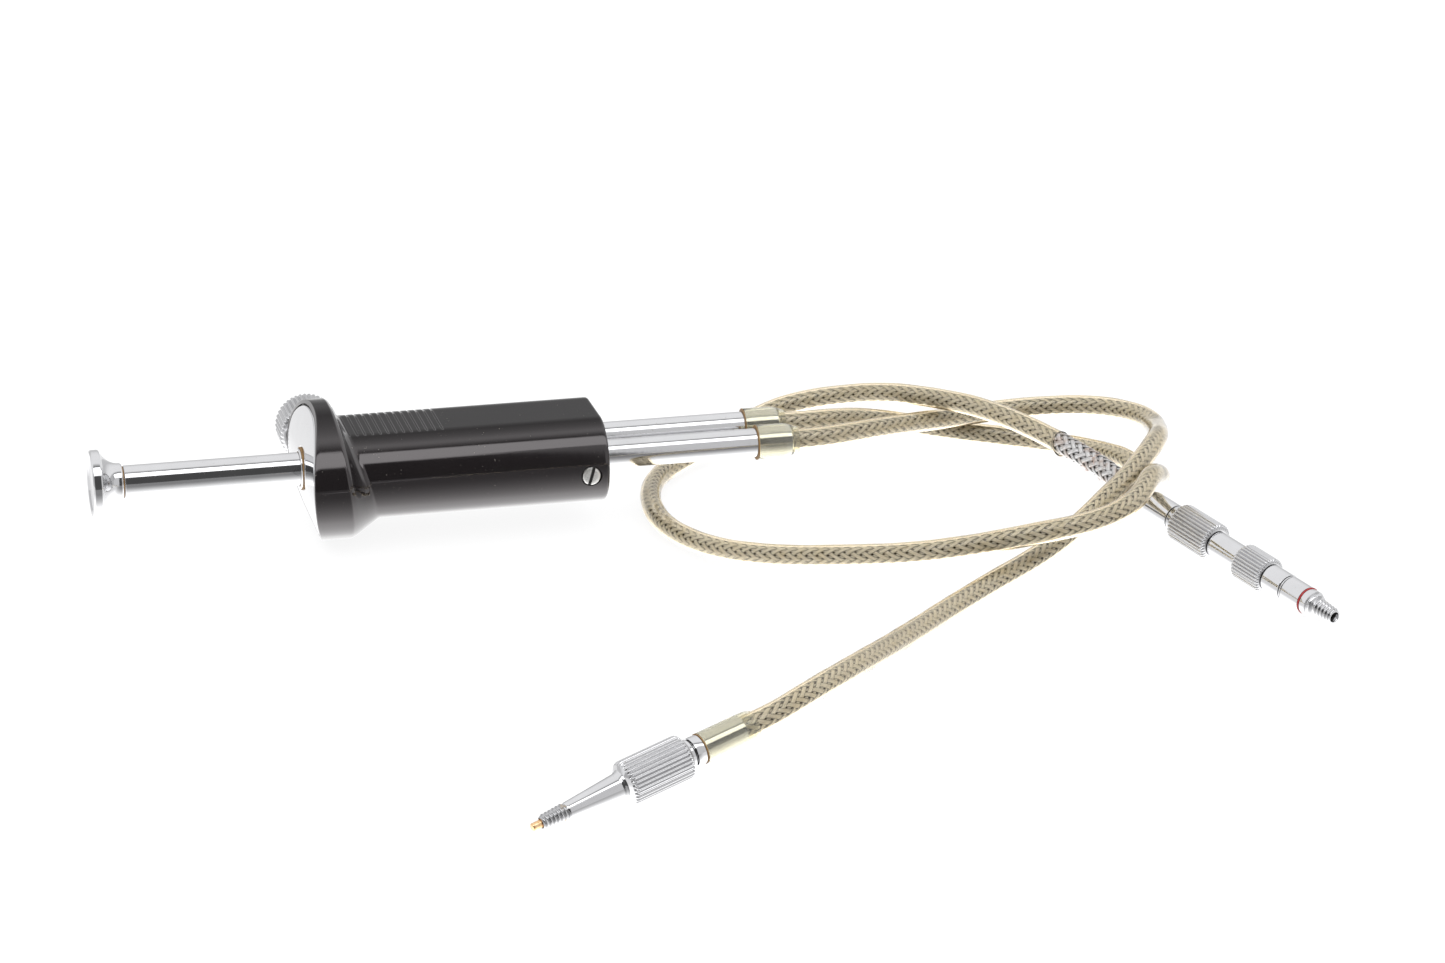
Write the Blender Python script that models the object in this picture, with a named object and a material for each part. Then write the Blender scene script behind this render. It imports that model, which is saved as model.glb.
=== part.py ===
"""Double cable shutter release: a plunger handle that drives two sheathed cables.

The origin is the centre of the button's press face. +X runs along the plunger's travel,
+Y points to the lock knob's side and +Z is up. The release lies on its side on a table.
All lengths are in millimetres and become metres where a mesh is made.
"""
import math

import bmesh
import bpy
import numpy as np
from mathutils import Matrix, Vector

MM = 0.001
GAP = 0.3                 # clearance between neighbouring pieces
ROUND = 20                # sides of a small turned piece

# Plunger, which travels 18 mm
BUTTON_R = 6.4
BUTTON_NECK_R = 3.6
BUTTON_LENGTH = 5.3
PRESS_RIM = 0.5           # rim that stands proud of the dished press face
STEM_R = 3.1
STEM_END = 50.0
STUD_R = 1.5              # studs that join button, stem and crosshead
STUD_LENGTH = 6.0
CROSSHEAD = (10.2, 4.6, 3.5)   # half width, half height and length

# Handle
AXIS_DROP = 0.4           # the handle's section centre lies this far below the plunger axis
FRONT = 38.5              # crest of the convex front face
REAR = 94.5
FRONT_R = 30.0            # radius of the convex front face, about a line along Y
FLANGE_HALF_Y = 17.5
FLANGE_HALF_Z = 12.5
BODY_HALF_Y = 13.3
BODY_HALF_Z = 8.1
WALL_Y = 1.7
WALL_Z = 2.2
POCKET_START = 49.0
BUSH_R = 3.75             # bush that guides the stem
BUSH_END = 41.5
CLAMP_START = 84.4
PLATE_INSET = 0.8
PLATE_DEPTH = 1.0
GROOVES = 13
GROOVE_PITCH = 1.45
GROOVE_START = 46.9
GROOVE_R = 0.35

# Cables leave the handle side by side
LANE = 5.2                # distance of each cable's axis from the plunger axis
TUBE_R = 2.75
TUBE_BORE_R = 2.15
TUBE_START = 86.0
TUBE_END = 131.0
SLEEVE_START = 124.5
SLEEVE_END = 132.5
CABLE_START = 131.6
ROD_R = 0.7
ROD_END = 108.0

JACKET = (2.0, 1.75)      # outer and inner radius of each layer of the cable
BRAID = (1.45, 1.15)
SHEATH = (0.85, 0.6)
CORE_R = 0.3
JACKET_SIDES = 8
BRAID_SIDES = 6
CORE_SIDES = 4
CABLE_STEP = 10.0          # length of one straight piece of the swept cable

# Knurls and lock
TEETH = 16                # flutes of every knurled piece
LOCK_X = 43.5
KNOB_R = 5.9
KNOB_START = 19.4
KNOB_END = 27.5
INSERT_R = 2.6            # threaded insert the lock screw runs in
GRIP_A_R = 3.6
RING_A_R = 3.4
GRIP_B_R = 3.8
FLUTE = 0.3               # depth of the flutes

# Screw in the near side that holds the clamp block
SCREW_X = 91.0
SCREW_DROP = 1.0
SCREW_HEAD_R = 1.75
SCREW_SHANK_R = 1.0

# Tips: where each tip's sleeve begins, and the way its nose points
TIP_B_BASE = (91.1, -134.1, -3.6)
TIP_B_YAW = -161.3
TIP_B_DIP = 11.7
TIP_A_BASE = (190.2, -45.4, -4.4)
TIP_A_YAW = -67.7
TIP_A_DIP = 8.5
PIN_R = 0.65
BARE_LENGTH = 36.5        # stretch of cable A whose jacket has been cut away

# Waypoints of the two cables between the handle and the tips
PATH_A = [
    (146.5, 8.0, -1.1), (166.6, 14.7, -6.9), (178.5, 13.4, -9.0), (188.5, 6.1, -9.0),
    (193.7, -6.0, -7.2), (195.0, -17.6, -5.6), (195.9, -23.1, -5.9), (186.6, -51.5, 2.8),
    (184.5, -55.0, 2.5), (181.2, -59.2, 1.9), (173.2, -64.8, 1.1), (161.1, -67.1, 0.2),
    (142.3, -61.8, -3.5), (130.2, -54.0, -6.0), (120.1, -45.4, -8.2), (110.1, -33.1, -10.1),
    (104.5, -18.8, -10.7), (104.8, -1.6, -10.8), (110.4, 13.0, -11.1), (122.1, 23.8, -9.8),
    (136.6, 27.7, -4.7), (148.0, 24.1, -1.7), (155.4, 18.7, 0.0), (163.2, 10.4, 1.1),
    (170.4, 0.9, 1.4), (176.4, -8.9, 0.6), (181.0, -18.5, -0.5), (186.2, -32.4, -2.3),
]
PATH_B = [
    (150.5, 0.9, -1.0), (167.5, 11.0, -3.6), (178.7, 14.4, -4.0), (188.8, 14.1, -3.8),
    (197.6, 9.4, -3.1), (203.0, -1.9, -2.1), (201.5, -13.1, -0.8), (196.6, -26.6, 1.7),
    (186.8, -41.0, 0.7), (177.5, -50.4, -1.8), (167.8, -58.2, -4.9), (153.2, -69.0, -7.0),
    (126.1, -99.2, -5.0), (100.8, -128.7, -1.9),
]


# ---------------------------------------------------------------- materials

def material(name, colour, roughness, metallic=0.0, alpha=1.0):
    """A plain Principled material."""
    made = bpy.data.materials.new(name)
    made.use_nodes = True
    shader = made.node_tree.nodes["Principled BSDF"]
    shader.inputs["Base Color"].default_value = (*colour, 1.0)
    shader.inputs["Roughness"].default_value = roughness
    shader.inputs["Metallic"].default_value = metallic
    shader.inputs["Alpha"].default_value = alpha
    return made


def make_materials():
    return {
        "bakelite": material("black_plastic", (0.02, 0.02, 0.022), 0.28),
        "chrome": material("chrome", (0.80, 0.80, 0.82), 0.12, 1.0),
        "steel": material("steel", (0.55, 0.54, 0.52), 0.35, 1.0),
        "brass": material("brass", (0.72, 0.50, 0.25), 0.30, 1.0),
        "braid": material("braid", (0.52, 0.48, 0.38), 0.60, 0.3),
        "jacket": material("clear_jacket", (0.93, 0.80, 0.50), 0.15, 0.0, 0.35),
        "sleeve": material("sleeve", (0.55, 0.52, 0.40), 0.25, 0.0, 0.6),
        "red": material("red_enamel", (0.55, 0.02, 0.02), 0.35),
        "fibre": material("fibre", (0.20, 0.12, 0.07), 0.80),
    }


# ---------------------------------------------------------------- mesh tools

def add_object(name, points, faces, surface, crease=35.0):
    """Make one object from points in millimetres, with its faces turned outwards."""
    mesh = bpy.data.meshes.new(name)
    mesh.from_pydata([Vector(point) * MM for point in points], [], faces)
    work = bmesh.new()
    work.from_mesh(mesh)
    bmesh.ops.recalc_face_normals(work, faces=work.faces[:])
    work.to_mesh(mesh)
    work.free()
    mesh.materials.append(surface)
    mesh.shade_smooth()
    mesh.set_sharp_from_angle(angle=math.radians(crease))
    obj = bpy.data.objects.new(name, mesh)
    bpy.context.collection.objects.link(obj)
    return obj


def skin(rings, closed):
    """Join rings of equally many points. Open ends are capped, a closed run meets itself."""
    sides = len(rings[0])
    points = [point for ring in rings for point in ring]
    faces = []
    spans = len(rings) if closed else len(rings) - 1
    for r in range(spans):
        here = r * sides
        there = ((r + 1) % len(rings)) * sides
        for s in range(sides):
            t = (s + 1) % sides
            faces.append((here + s, here + t, there + t, there + s))
    if not closed:
        faces.append(tuple(range(sides)))
        faces.append(tuple(range(len(points) - sides, len(points))))
    return points, faces


def turned(name, profile, surface, closed=False, teeth=0, centre=(0.0, 0.0), crease=35.0):
    """Turn a profile of (x, radius) or (x, radius, flute depth) about a line along +X.

    Pieces with teeth have two sides per tooth, and a flute depth on their ribbed part.
    centre is the line's (y, z).
    """
    sides = 2 * teeth if teeth else ROUND
    rings = []
    for station in profile:
        x, radius = station[:2]
        depth = station[2] if len(station) > 2 else 0.0
        ring = []
        for s in range(sides):
            angle = 2 * math.pi * s / sides
            reach = radius - depth * (s % 2)
            ring.append((x, centre[0] + reach * math.cos(angle),
                         centre[1] + reach * math.sin(angle)))
        rings.append(ring)
    return add_object(name, *skin(rings, closed), surface, crease)


def tube_profile(start, end, outer, inner):
    """Closed profile of a plain tube."""
    return [(start, outer), (end, outer), (end, inner), (start, inner)]


def oval(half_y, half_z, roundness, count):
    """Outline from a stadium (roundness 0) to an ellipse (roundness 1), as (y, z) pairs."""
    flat = half_y - half_z
    outline = []
    for s in range(count):
        angle = 2 * math.pi * (s + 0.5) / count
        c, d = math.cos(angle), math.sin(angle)
        stadium = (math.copysign(flat, c) + half_z * c, half_z * d)
        ellipse = (half_y * c, half_z * d)
        outline.append(tuple(e * roundness + f * (1 - roundness)
                             for e, f in zip(ellipse, stadium)))
    return outline


def lofted(name, stations, surface, crease=35.0, count=48):
    """Loft ovals along X. A station is (x, lean, half_y, half_z, roundness).

    lean tilts the station: its x falls by lean for each millimetre of height.
    """
    rings = []
    for x, lean, half_y, half_z, roundness in stations:
        rings.append([(x - lean * z, y, z - AXIS_DROP)
                      for y, z in oval(half_y, half_z, roundness, count)])
    return add_object(name, *skin(rings, False), surface, crease)


def rod_between(name, start, end, radius, sides=ROUND):
    """A plain cylinder used as a cutter."""
    start, end = Vector(start), Vector(end)
    direction = (end - start).normalized()
    across = direction.orthogonal().normalized()
    up = direction.cross(across)
    rings = []
    for foot in (start, end):
        rings.append([foot + radius * (math.cos(2 * math.pi * s / sides) * across
                                       + math.sin(2 * math.pi * s / sides) * up)
                      for s in range(sides)])
    return add_object(name, *skin(rings, False), None)


def box_between(name, low, high):
    """A box used as a cutter."""
    corners = [[(x, low[1], low[2]), (x, high[1], low[2]), (x, high[1], high[2]),
                (x, low[1], high[2])] for x in (low[0], high[0])]
    return add_object(name, *skin(corners, False), None)


def apply_cut(obj, cutter, operation="DIFFERENCE"):
    """Cut obj with cutter. The cutter stays in the scene as a hidden guide."""
    cutter.hide_render = True
    cutter.display_type = "WIRE"
    cut = obj.modifiers.new(cutter.name, "BOOLEAN")
    cut.operation = operation
    cut.object = cutter


# ---------------------------------------------------------------- cable curves

def smooth_path(waypoints, start_dir, end_dir, step):
    """Evenly spaced points on a smooth curve through the waypoints.

    The curve is a cubic spline with a continuous bend and the given end directions.
    """
    knots = np.array(waypoints, float)
    chord = np.linalg.norm(np.diff(knots, axis=0), axis=1)
    size = len(knots)
    matrix = np.zeros((size, size))
    right = np.zeros((size, 3))
    matrix[0, 0] = matrix[-1, -1] = 1.0
    right[0], right[-1] = start_dir, end_dir
    for i in range(1, size - 1):
        before, after = chord[i - 1], chord[i]
        matrix[i, i - 1:i + 2] = (1 / before, 2 / before + 2 / after, 1 / after)
        right[i] = 3 * ((knots[i] - knots[i - 1]) / before ** 2
                        + (knots[i + 1] - knots[i]) / after ** 2)
    slope = np.linalg.solve(matrix, right)
    fine = []
    for i, span in enumerate(chord):
        for u in np.linspace(0.0, 1.0, 40, endpoint=False):
            fine.append((1 + 2 * u) * (1 - u) ** 2 * knots[i]
                        + u * (1 - u) ** 2 * span * slope[i]
                        + u * u * (3 - 2 * u) * knots[i + 1]
                        + u * u * (u - 1) * span * slope[i + 1])
    fine.append(knots[-1])
    fine = np.array(fine)
    walked = np.concatenate([[0.0], np.cumsum(np.linalg.norm(np.diff(fine, axis=0), axis=1))])
    stops = np.linspace(0.0, walked[-1], int(round(walked[-1] / step)) + 1)
    return np.stack([np.interp(stops, walked, fine[:, axis]) for axis in range(3)], axis=1)


def path_frames(path):
    """Two unit vectors square to the path at each point, carried along without twist."""
    tangents = np.gradient(path, axis=0)
    tangents /= np.linalg.norm(tangents, axis=1)[:, None]
    side = Vector(tangents[0]).orthogonal().normalized()
    frames = []
    for tangent in map(Vector, tangents):
        side = (side - side.dot(tangent) * tangent).normalized()
        frames.append((side, tangent.cross(side)))
    return frames


def swept(name, path, frames, outer, inner, sides, surface):
    """A solid rod (inner is 0) or a tube that follows the path."""
    def ring(index, radius):
        across, up = frames[index]
        return [Vector(path[index]) + radius * (math.cos(2 * math.pi * s / sides) * across
                                                + math.sin(2 * math.pi * s / sides) * up)
                for s in range(sides)]

    rings = [ring(i, outer) for i in range(len(path))]
    if inner:
        rings += [ring(i, inner) for i in reversed(range(len(path)))]
    return add_object(name, *skin(rings, bool(inner)), surface, crease=60.0)


def tip_direction(yaw, dip):
    """Unit vector along a tip, pointing at its nose."""
    yaw, dip = math.radians(yaw), math.radians(dip)
    return Vector((math.cos(dip) * math.cos(yaw), math.cos(dip) * math.sin(yaw), -math.sin(dip)))


# ---------------------------------------------------------------- plunger

def build_plunger(looks):
    neck = BUTTON_LENGTH
    turned("plunger_button", [
        (0.0, BUTTON_R - 1.9), (-PRESS_RIM, BUTTON_R - 0.9), (-PRESS_RIM, BUTTON_R - 0.3),
        (-0.2, BUTTON_R), (1.0, BUTTON_R), (1.4, BUTTON_R - 0.5), (2.2, 5.0), (3.2, 4.2),
        (neck - 0.6, BUTTON_NECK_R), (neck, BUTTON_NECK_R), (neck, STUD_R),
        (neck + STUD_LENGTH, STUD_R),
    ], looks["chrome"])
    turned("plunger_stem", [
        (neck + GAP, STEM_R), (STEM_END, STEM_R), (STEM_END, STUD_R),
        (STEM_END + STUD_LENGTH, STUD_R), (STEM_END + STUD_LENGTH, 0.4),
        (neck + STUD_LENGTH + 1.0, 0.4), (neck + STUD_LENGTH + 1.0, STUD_R + GAP),
        (neck + GAP, STUD_R + GAP),
    ], looks["chrome"], closed=True)

    start = STEM_END + GAP
    half_y, half_z, length = CROSSHEAD
    crosshead = lofted("crosshead", [
        (start, 0, half_y, half_z, 0), (start + length, 0, half_y, half_z, 0),
    ], looks["steel"], count=32)
    apply_cut(crosshead, rod_between("crosshead_bore", (start - 1, 0, 0), (start + length + 1, 0, 0),
                                     STUD_R + GAP))
    for side, lane in (("a", LANE), ("b", -LANE)):
        apply_cut(crosshead, rod_between("crosshead_seat_" + side, (start + 1, lane, 0),
                                         (start + length + 1, lane, 0), ROD_R + GAP, 12))
        turned("push_rod_" + side, [(start + 1 + GAP, ROD_R), (ROD_END, ROD_R)],
               looks["steel"], centre=(lane, 0.0))

    seat = start + length + GAP
    turned("crosshead_nut", tube_profile(seat, seat + 1.6, 2.8, STUD_R + GAP), looks["steel"],
           closed=True)


def build_return_spring(looks):
    """Compression spring between the crosshead and the clamp block."""
    start, end = STEM_END + CROSSHEAD[2] + 2 * GAP, CLAMP_START - 0.4
    wire_r, coil_r, coils, per_coil = 0.3, 3.6, 11, 10
    steps = coils * per_coil
    rings = []
    for i in range(steps + 1):
        angle = 2 * math.pi * i / per_coil
        x = start + wire_r + (end - start - 2 * wire_r) * i / steps
        outward = Vector((0.0, math.cos(angle), math.sin(angle)))
        middle = Vector((x, 0, 0)) + coil_r * outward
        rings.append([middle + wire_r * (math.cos(2 * math.pi * s / 4) * outward
                                         + math.sin(2 * math.pi * s / 4) * Vector((1, 0, 0)))
                      for s in range(4)])
    add_object("return_spring", *skin(rings, False), looks["steel"], crease=80.0)


# ---------------------------------------------------------------- handle

def build_handle(looks):
    body = lofted("handle_body", [
        (FRONT - 3.0, 0.0, FLANGE_HALF_Y, FLANGE_HALF_Z, 0.9),
        (45.2, 0.10, FLANGE_HALF_Y, FLANGE_HALF_Z, 0.9),
        (46.0, 0.12, FLANGE_HALF_Y - 0.6, FLANGE_HALF_Z - 0.5, 0.8),
        (48.2, 0.28, BODY_HALF_Y + 1.1, BODY_HALF_Z + 1.3, 0.4),
        (48.9, 0.31, BODY_HALF_Y + 0.4, BODY_HALF_Z + 0.4, 0.15),
        (50.0, 0.31, BODY_HALF_Y, BODY_HALF_Z, 0.0),
        (REAR - 0.4, 0.0, BODY_HALF_Y, BODY_HALF_Z, 0.0),
        (REAR, 0.0, BODY_HALF_Y - 0.4, BODY_HALF_Z - 0.4, 0.0),
    ], looks["bakelite"])

    centre = (FRONT + FRONT_R, 0.0, 0.0)
    wide = FLANGE_HALF_Y + 5

    def drum(name, radius):
        return rod_between(name, (centre[0], -wide, 0), (centre[0], wide, 0), radius, 96)

    apply_cut(body, drum("front_curve", FRONT_R), "INTERSECT")

    recess = lofted("plate_recess", [
        (FRONT - 3, 0, FLANGE_HALF_Y - PLATE_INSET, FLANGE_HALF_Z - PLATE_INSET, 0.9),
        (FRONT + 5, 0, FLANGE_HALF_Y - PLATE_INSET, FLANGE_HALF_Z - PLATE_INSET, 0.9),
    ], None)
    apply_cut(recess, drum("recess_floor", FRONT_R - PLATE_DEPTH))
    apply_cut(body, recess)

    edge = PLATE_INSET + GAP
    plate = lofted("end_plate", [
        (FRONT - 3, 0, FLANGE_HALF_Y - edge, FLANGE_HALF_Z - edge, 0.9),
        (FRONT + 5, 0, FLANGE_HALF_Y - edge, FLANGE_HALF_Z - edge, 0.9),
    ], looks["chrome"])
    apply_cut(plate, drum("plate_front", FRONT_R), "INTERSECT")
    apply_cut(plate, drum("plate_back", FRONT_R - PLATE_DEPTH + GAP))
    apply_cut(plate, rod_between("plate_hole", (30, 0, 0), (50, 0, 0), BUSH_R + GAP))

    turned("plunger_bush", tube_profile(FRONT - 0.3, BUSH_END, BUSH_R, STEM_R + 0.2),
           looks["chrome"], closed=True)
    apply_cut(body, rod_between("bush_seat", (30, 0, 0), (BUSH_END + GAP, 0, 0),
                                BUSH_R + GAP))
    apply_cut(body, rod_between("stem_bore", (30, 0, 0), (60, 0, 0), STEM_R + GAP))

    pocket = lofted("pocket", [
        (POCKET_START, 0, BODY_HALF_Y - WALL_Y, BODY_HALF_Z - WALL_Z, 0),
        (REAR + 2, 0, BODY_HALF_Y - WALL_Y, BODY_HALF_Z - WALL_Z, 0),
    ], None)
    apply_cut(body, pocket)

    for i in range(GROOVES):
        x = GROOVE_START + GROOVE_PITCH * i
        top = BODY_HALF_Z - AXIS_DROP + 0.08
        apply_cut(body, rod_between("groove_%02d" % i, (x, -LANE - 0.8, top),
                                    (x, LANE + 4.0, top), GROOVE_R, 4))

    apply_cut(body, rod_between("lock_bore", (LOCK_X, 1.0, 0), (LOCK_X, 24, 0), STUD_R + 0.4))
    apply_cut(body, rod_between("insert_seat", (LOCK_X, 11.2, 0), (LOCK_X, 24, 0),
                                INSERT_R + GAP))
    screw = -AXIS_DROP - SCREW_DROP
    apply_cut(body, rod_between("screw_head_seat", (SCREW_X, -12.4, screw),
                                (SCREW_X, -15, screw), SCREW_HEAD_R + GAP))
    apply_cut(body, rod_between("screw_bore", (SCREW_X, -10, screw), (SCREW_X, -15, screw),
                                SCREW_SHANK_R + GAP))


def build_clamp(looks):
    """Block that closes the handle's rear and holds both guide tubes."""
    half_y = BODY_HALF_Y - WALL_Y - GAP
    half_z = BODY_HALF_Z - WALL_Z - GAP
    block = lofted("clamp_block", [
        (CLAMP_START, 0, half_y, half_z, 0), (REAR - 0.3, 0, half_y, half_z, 0),
    ], looks["bakelite"], count=32)
    for side, lane in (("a", LANE), ("b", -LANE)):
        apply_cut(block, rod_between("tube_seat_" + side, (TUBE_START - GAP, lane, 0),
                                     (REAR + 2, lane, 0), TUBE_R + GAP))
        apply_cut(block, rod_between("rod_hole_" + side, (80, lane, 0), (90, lane, 0), 1.2, 12))
    screw = -AXIS_DROP - SCREW_DROP
    apply_cut(block, rod_between("screw_hole", (SCREW_X, -8.9, screw), (SCREW_X, -15, screw),
                                 SCREW_SHANK_R + GAP))

    head = rod_between("clamp_screw", (SCREW_X, -13.15, screw), (SCREW_X, -12.6, screw),
                       SCREW_HEAD_R)
    shank = rod_between("clamp_screw_shank", (SCREW_X, -13.0, screw), (SCREW_X, -9.3, screw),
                        SCREW_SHANK_R)
    head.data.materials.clear()
    head.data.materials.append(looks["steel"])
    apply_cut(head, shank, "UNION")
    apply_cut(head, box_between("screw_slot", (SCREW_X - 0.25, -14, screw - 3),
                                (SCREW_X + 0.25, -12.9, screw + 3)))


def build_lock(looks):
    """Knurled knob that presses a fibre pad against the plunger stem."""
    turn = Matrix.Rotation(math.radians(90), 4, "Z")
    place = Matrix.Translation(Vector((LOCK_X, 0, 0)) * MM) @ turn
    knob = turned("lock_knob", [
        (KNOB_START, STUD_R + GAP), (KNOB_START, KNOB_R - 1.1), (KNOB_START + 0.5, KNOB_R - 0.5),
        (KNOB_START + 0.9, KNOB_R, FLUTE), (KNOB_END - 0.6, KNOB_R, FLUTE),
        (KNOB_END, KNOB_R - 0.7), (KNOB_END, 1.0), (KNOB_END - 3.0, 1.0),
        (KNOB_END - 3.0, STUD_R + GAP),
    ], looks["chrome"], closed=True, teeth=TEETH)
    screw = turned("lock_screw", [(4.5, STUD_R), (KNOB_END - 3.0 - GAP, STUD_R)], looks["steel"])
    insert = turned("lock_insert", tube_profile(11.5, 17.0, INSERT_R, STUD_R + GAP),
                    looks["brass"], closed=True)
    pad = turned("lock_pad", [(3.4, STUD_R), (4.2, STUD_R)], looks["fibre"])
    for piece in (knob, screw, insert, pad):
        piece.matrix_world = place


# ---------------------------------------------------------------- cables

def build_guide_tubes(looks):
    for side, lane in (("a", LANE), ("b", -LANE)):
        turned("guide_tube_" + side, tube_profile(TUBE_START, TUBE_END, TUBE_R, TUBE_BORE_R),
               looks["chrome"], closed=True, centre=(lane, 0.0))
        turned("end_sleeve_" + side, [
            (SLEEVE_START, TUBE_R + 0.55), (130.4, TUBE_R + 0.55), (SLEEVE_END - 0.4, 2.75),
            (SLEEVE_END, 2.5), (SLEEVE_END, JACKET[0] + GAP), (131.4, JACKET[0] + GAP),
            (131.4, TUBE_R + 0.25), (SLEEVE_START, TUBE_R + 0.25),
        ], looks["sleeve"], closed=True, centre=(lane, 0.0))


def build_cable(side, lane, waypoints, base, yaw, dip, bare, inside, looks):
    """Layers of one cable: clear jacket, braid, spiral sheath and core wire.

    bare is the length without a jacket at the tip's end, and inside is how far the cable
    goes on into the tip.
    """
    nose = tip_direction(yaw, dip)
    start = (CABLE_START, lane, 0.0)
    leave = (SLEEVE_END + 1.0, lane, 0.0)
    arrive = Vector(base) - 1.5 * nose
    end = Vector(base) + inside * nose
    curve = smooth_path([leave, *waypoints, arrive], (1, 0, 0), nose, CABLE_STEP)
    path = np.vstack([start, curve, end])
    frames = path_frames(path)
    jacketed = len(path) - int(round(bare / CABLE_STEP))
    swept("jacket_" + side, path[:jacketed], frames, *JACKET, JACKET_SIDES, looks["jacket"])
    swept("braid_" + side, path, frames, *BRAID, BRAID_SIDES, looks["braid"])
    swept("sheath_" + side, path, frames, *SHEATH, BRAID_SIDES, looks["steel"])
    swept("core_wire_" + side, path, frames, CORE_R, 0.0, CORE_SIDES, looks["steel"])


# ---------------------------------------------------------------- tips

def tip_frame(name, base, yaw, dip):
    """Empty at the tip's base with +X along the tip."""
    frame = bpy.data.objects.new(name, None)
    frame.location = Vector(base) * MM
    frame.rotation_euler = (0.0, math.radians(dip), math.radians(yaw))
    bpy.context.collection.objects.link(frame)
    return frame


def build_tip_b(looks):
    frame = tip_frame("tip_b_frame", TIP_B_BASE, TIP_B_YAW, TIP_B_DIP)
    cable = JACKET[0] + GAP
    pieces = [
        turned("tip_b_sleeve", [
            (-0.6, cable), (-0.6, 2.35), (0.2, 2.6), (9.6, 2.6), (9.6, cable),
        ], looks["sleeve"], closed=True),
        turned("tip_b_ferrule", [
            (9.9, 1.8), (9.9, 2.5), (11.2, 2.5), (11.2, 2.1), (11.6, 2.1), (11.6, 1.8),
        ], looks["chrome"], closed=True),
        turned("tip_b_head", [
            (11.9, 1.0), (11.9, 2.4), (12.5, 2.5), (12.9, GRIP_B_R - 0.3),
            (13.1, GRIP_B_R, FLUTE), (24.2, GRIP_B_R, FLUTE), (24.5, GRIP_B_R - 0.3), (24.6, 2.1),
            (25.2, 1.95), (35.4, 1.5), (35.7, 1.3),
            (40.0, 1.1), (40.0, PIN_R + GAP), (26.0, PIN_R + GAP), (26.0, 1.0),
        ], looks["chrome"], closed=True, teeth=TEETH),
        turned("pin_b", [(17.5, PIN_R), (41.4, PIN_R), (41.7, PIN_R - 0.2)], looks["brass"]),
    ]
    for piece in pieces:
        piece.parent = frame


def build_tip_a(looks):
    frame = tip_frame("tip_a_frame", TIP_A_BASE, TIP_A_YAW, TIP_A_DIP)
    pieces = [
        turned("tip_a_ferrule", [
            (-1.0, BRAID[0] + GAP), (-1.0, 2.3), (-0.6, 2.5), (5.6, 2.5), (5.6, BRAID[0] + GAP),
        ], looks["chrome"], closed=True),
        turned("tip_a_grip", [
            (5.9, 1.1), (5.9, 2.5), (7.0, 2.6), (7.6, GRIP_A_R - 0.2), (7.8, GRIP_A_R, FLUTE),
            (17.0, GRIP_A_R, FLUTE), (17.2, GRIP_A_R - 0.2), (17.2, 1.1),
        ], looks["chrome"], closed=True, teeth=TEETH),
        turned("tip_a_barrel", [
            (17.5, 1.1), (17.5, 2.45), (24.6, 2.45), (24.6, 1.9), (32.2, 1.9), (32.2, 1.1),
        ], looks["chrome"], closed=True),
        turned("tip_a_lock_ring", [
            (24.9, 2.2), (24.9, RING_A_R - 0.3), (25.1, RING_A_R, FLUTE), (31.6, RING_A_R, FLUTE),
            (31.9, RING_A_R - 0.3), (31.9, 2.2),
        ], looks["chrome"], closed=True, teeth=TEETH),
        turned("tip_a_nose", [
            (32.5, PIN_R + GAP), (32.5, 2.55), (36.6, 2.55), (36.6, 2.2), (37.2, 2.2),
            (37.2, 2.5), (41.4, 2.5), (41.4, 2.1), (42.4, 2.1), (42.4, 2.35), (44.2, 2.35),
            (44.6, 1.55), (49.0, 1.2), (49.0, PIN_R + GAP),
        ], looks["chrome"], closed=True),
        turned("red_ring", tube_profile(41.6, 42.2, 2.6, 2.4), looks["red"], closed=True),
        turned("pin_a", [(24.0, PIN_R), (46.8, PIN_R), (47.2, PIN_R - 0.2)], looks["brass"]),
    ]
    for piece in pieces:
        piece.parent = frame


def main():
    for obj in list(bpy.data.objects):
        bpy.data.objects.remove(obj)
    looks = make_materials()
    build_plunger(looks)
    build_return_spring(looks)
    build_handle(looks)
    build_clamp(looks)
    build_lock(looks)
    build_guide_tubes(looks)
    build_cable("a", LANE, PATH_A, TIP_A_BASE, TIP_A_YAW, TIP_A_DIP, BARE_LENGTH, 4.8, looks)
    build_cable("b", -LANE, PATH_B, TIP_B_BASE, TIP_B_YAW, TIP_B_DIP, 0.0, 9.0, looks)
    build_tip_b(looks)
    build_tip_a(looks)


main()
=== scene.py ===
import math
from functools import partial

import bmesh
import bpy
import numpy as np
from mathutils import Matrix, Vector


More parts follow.
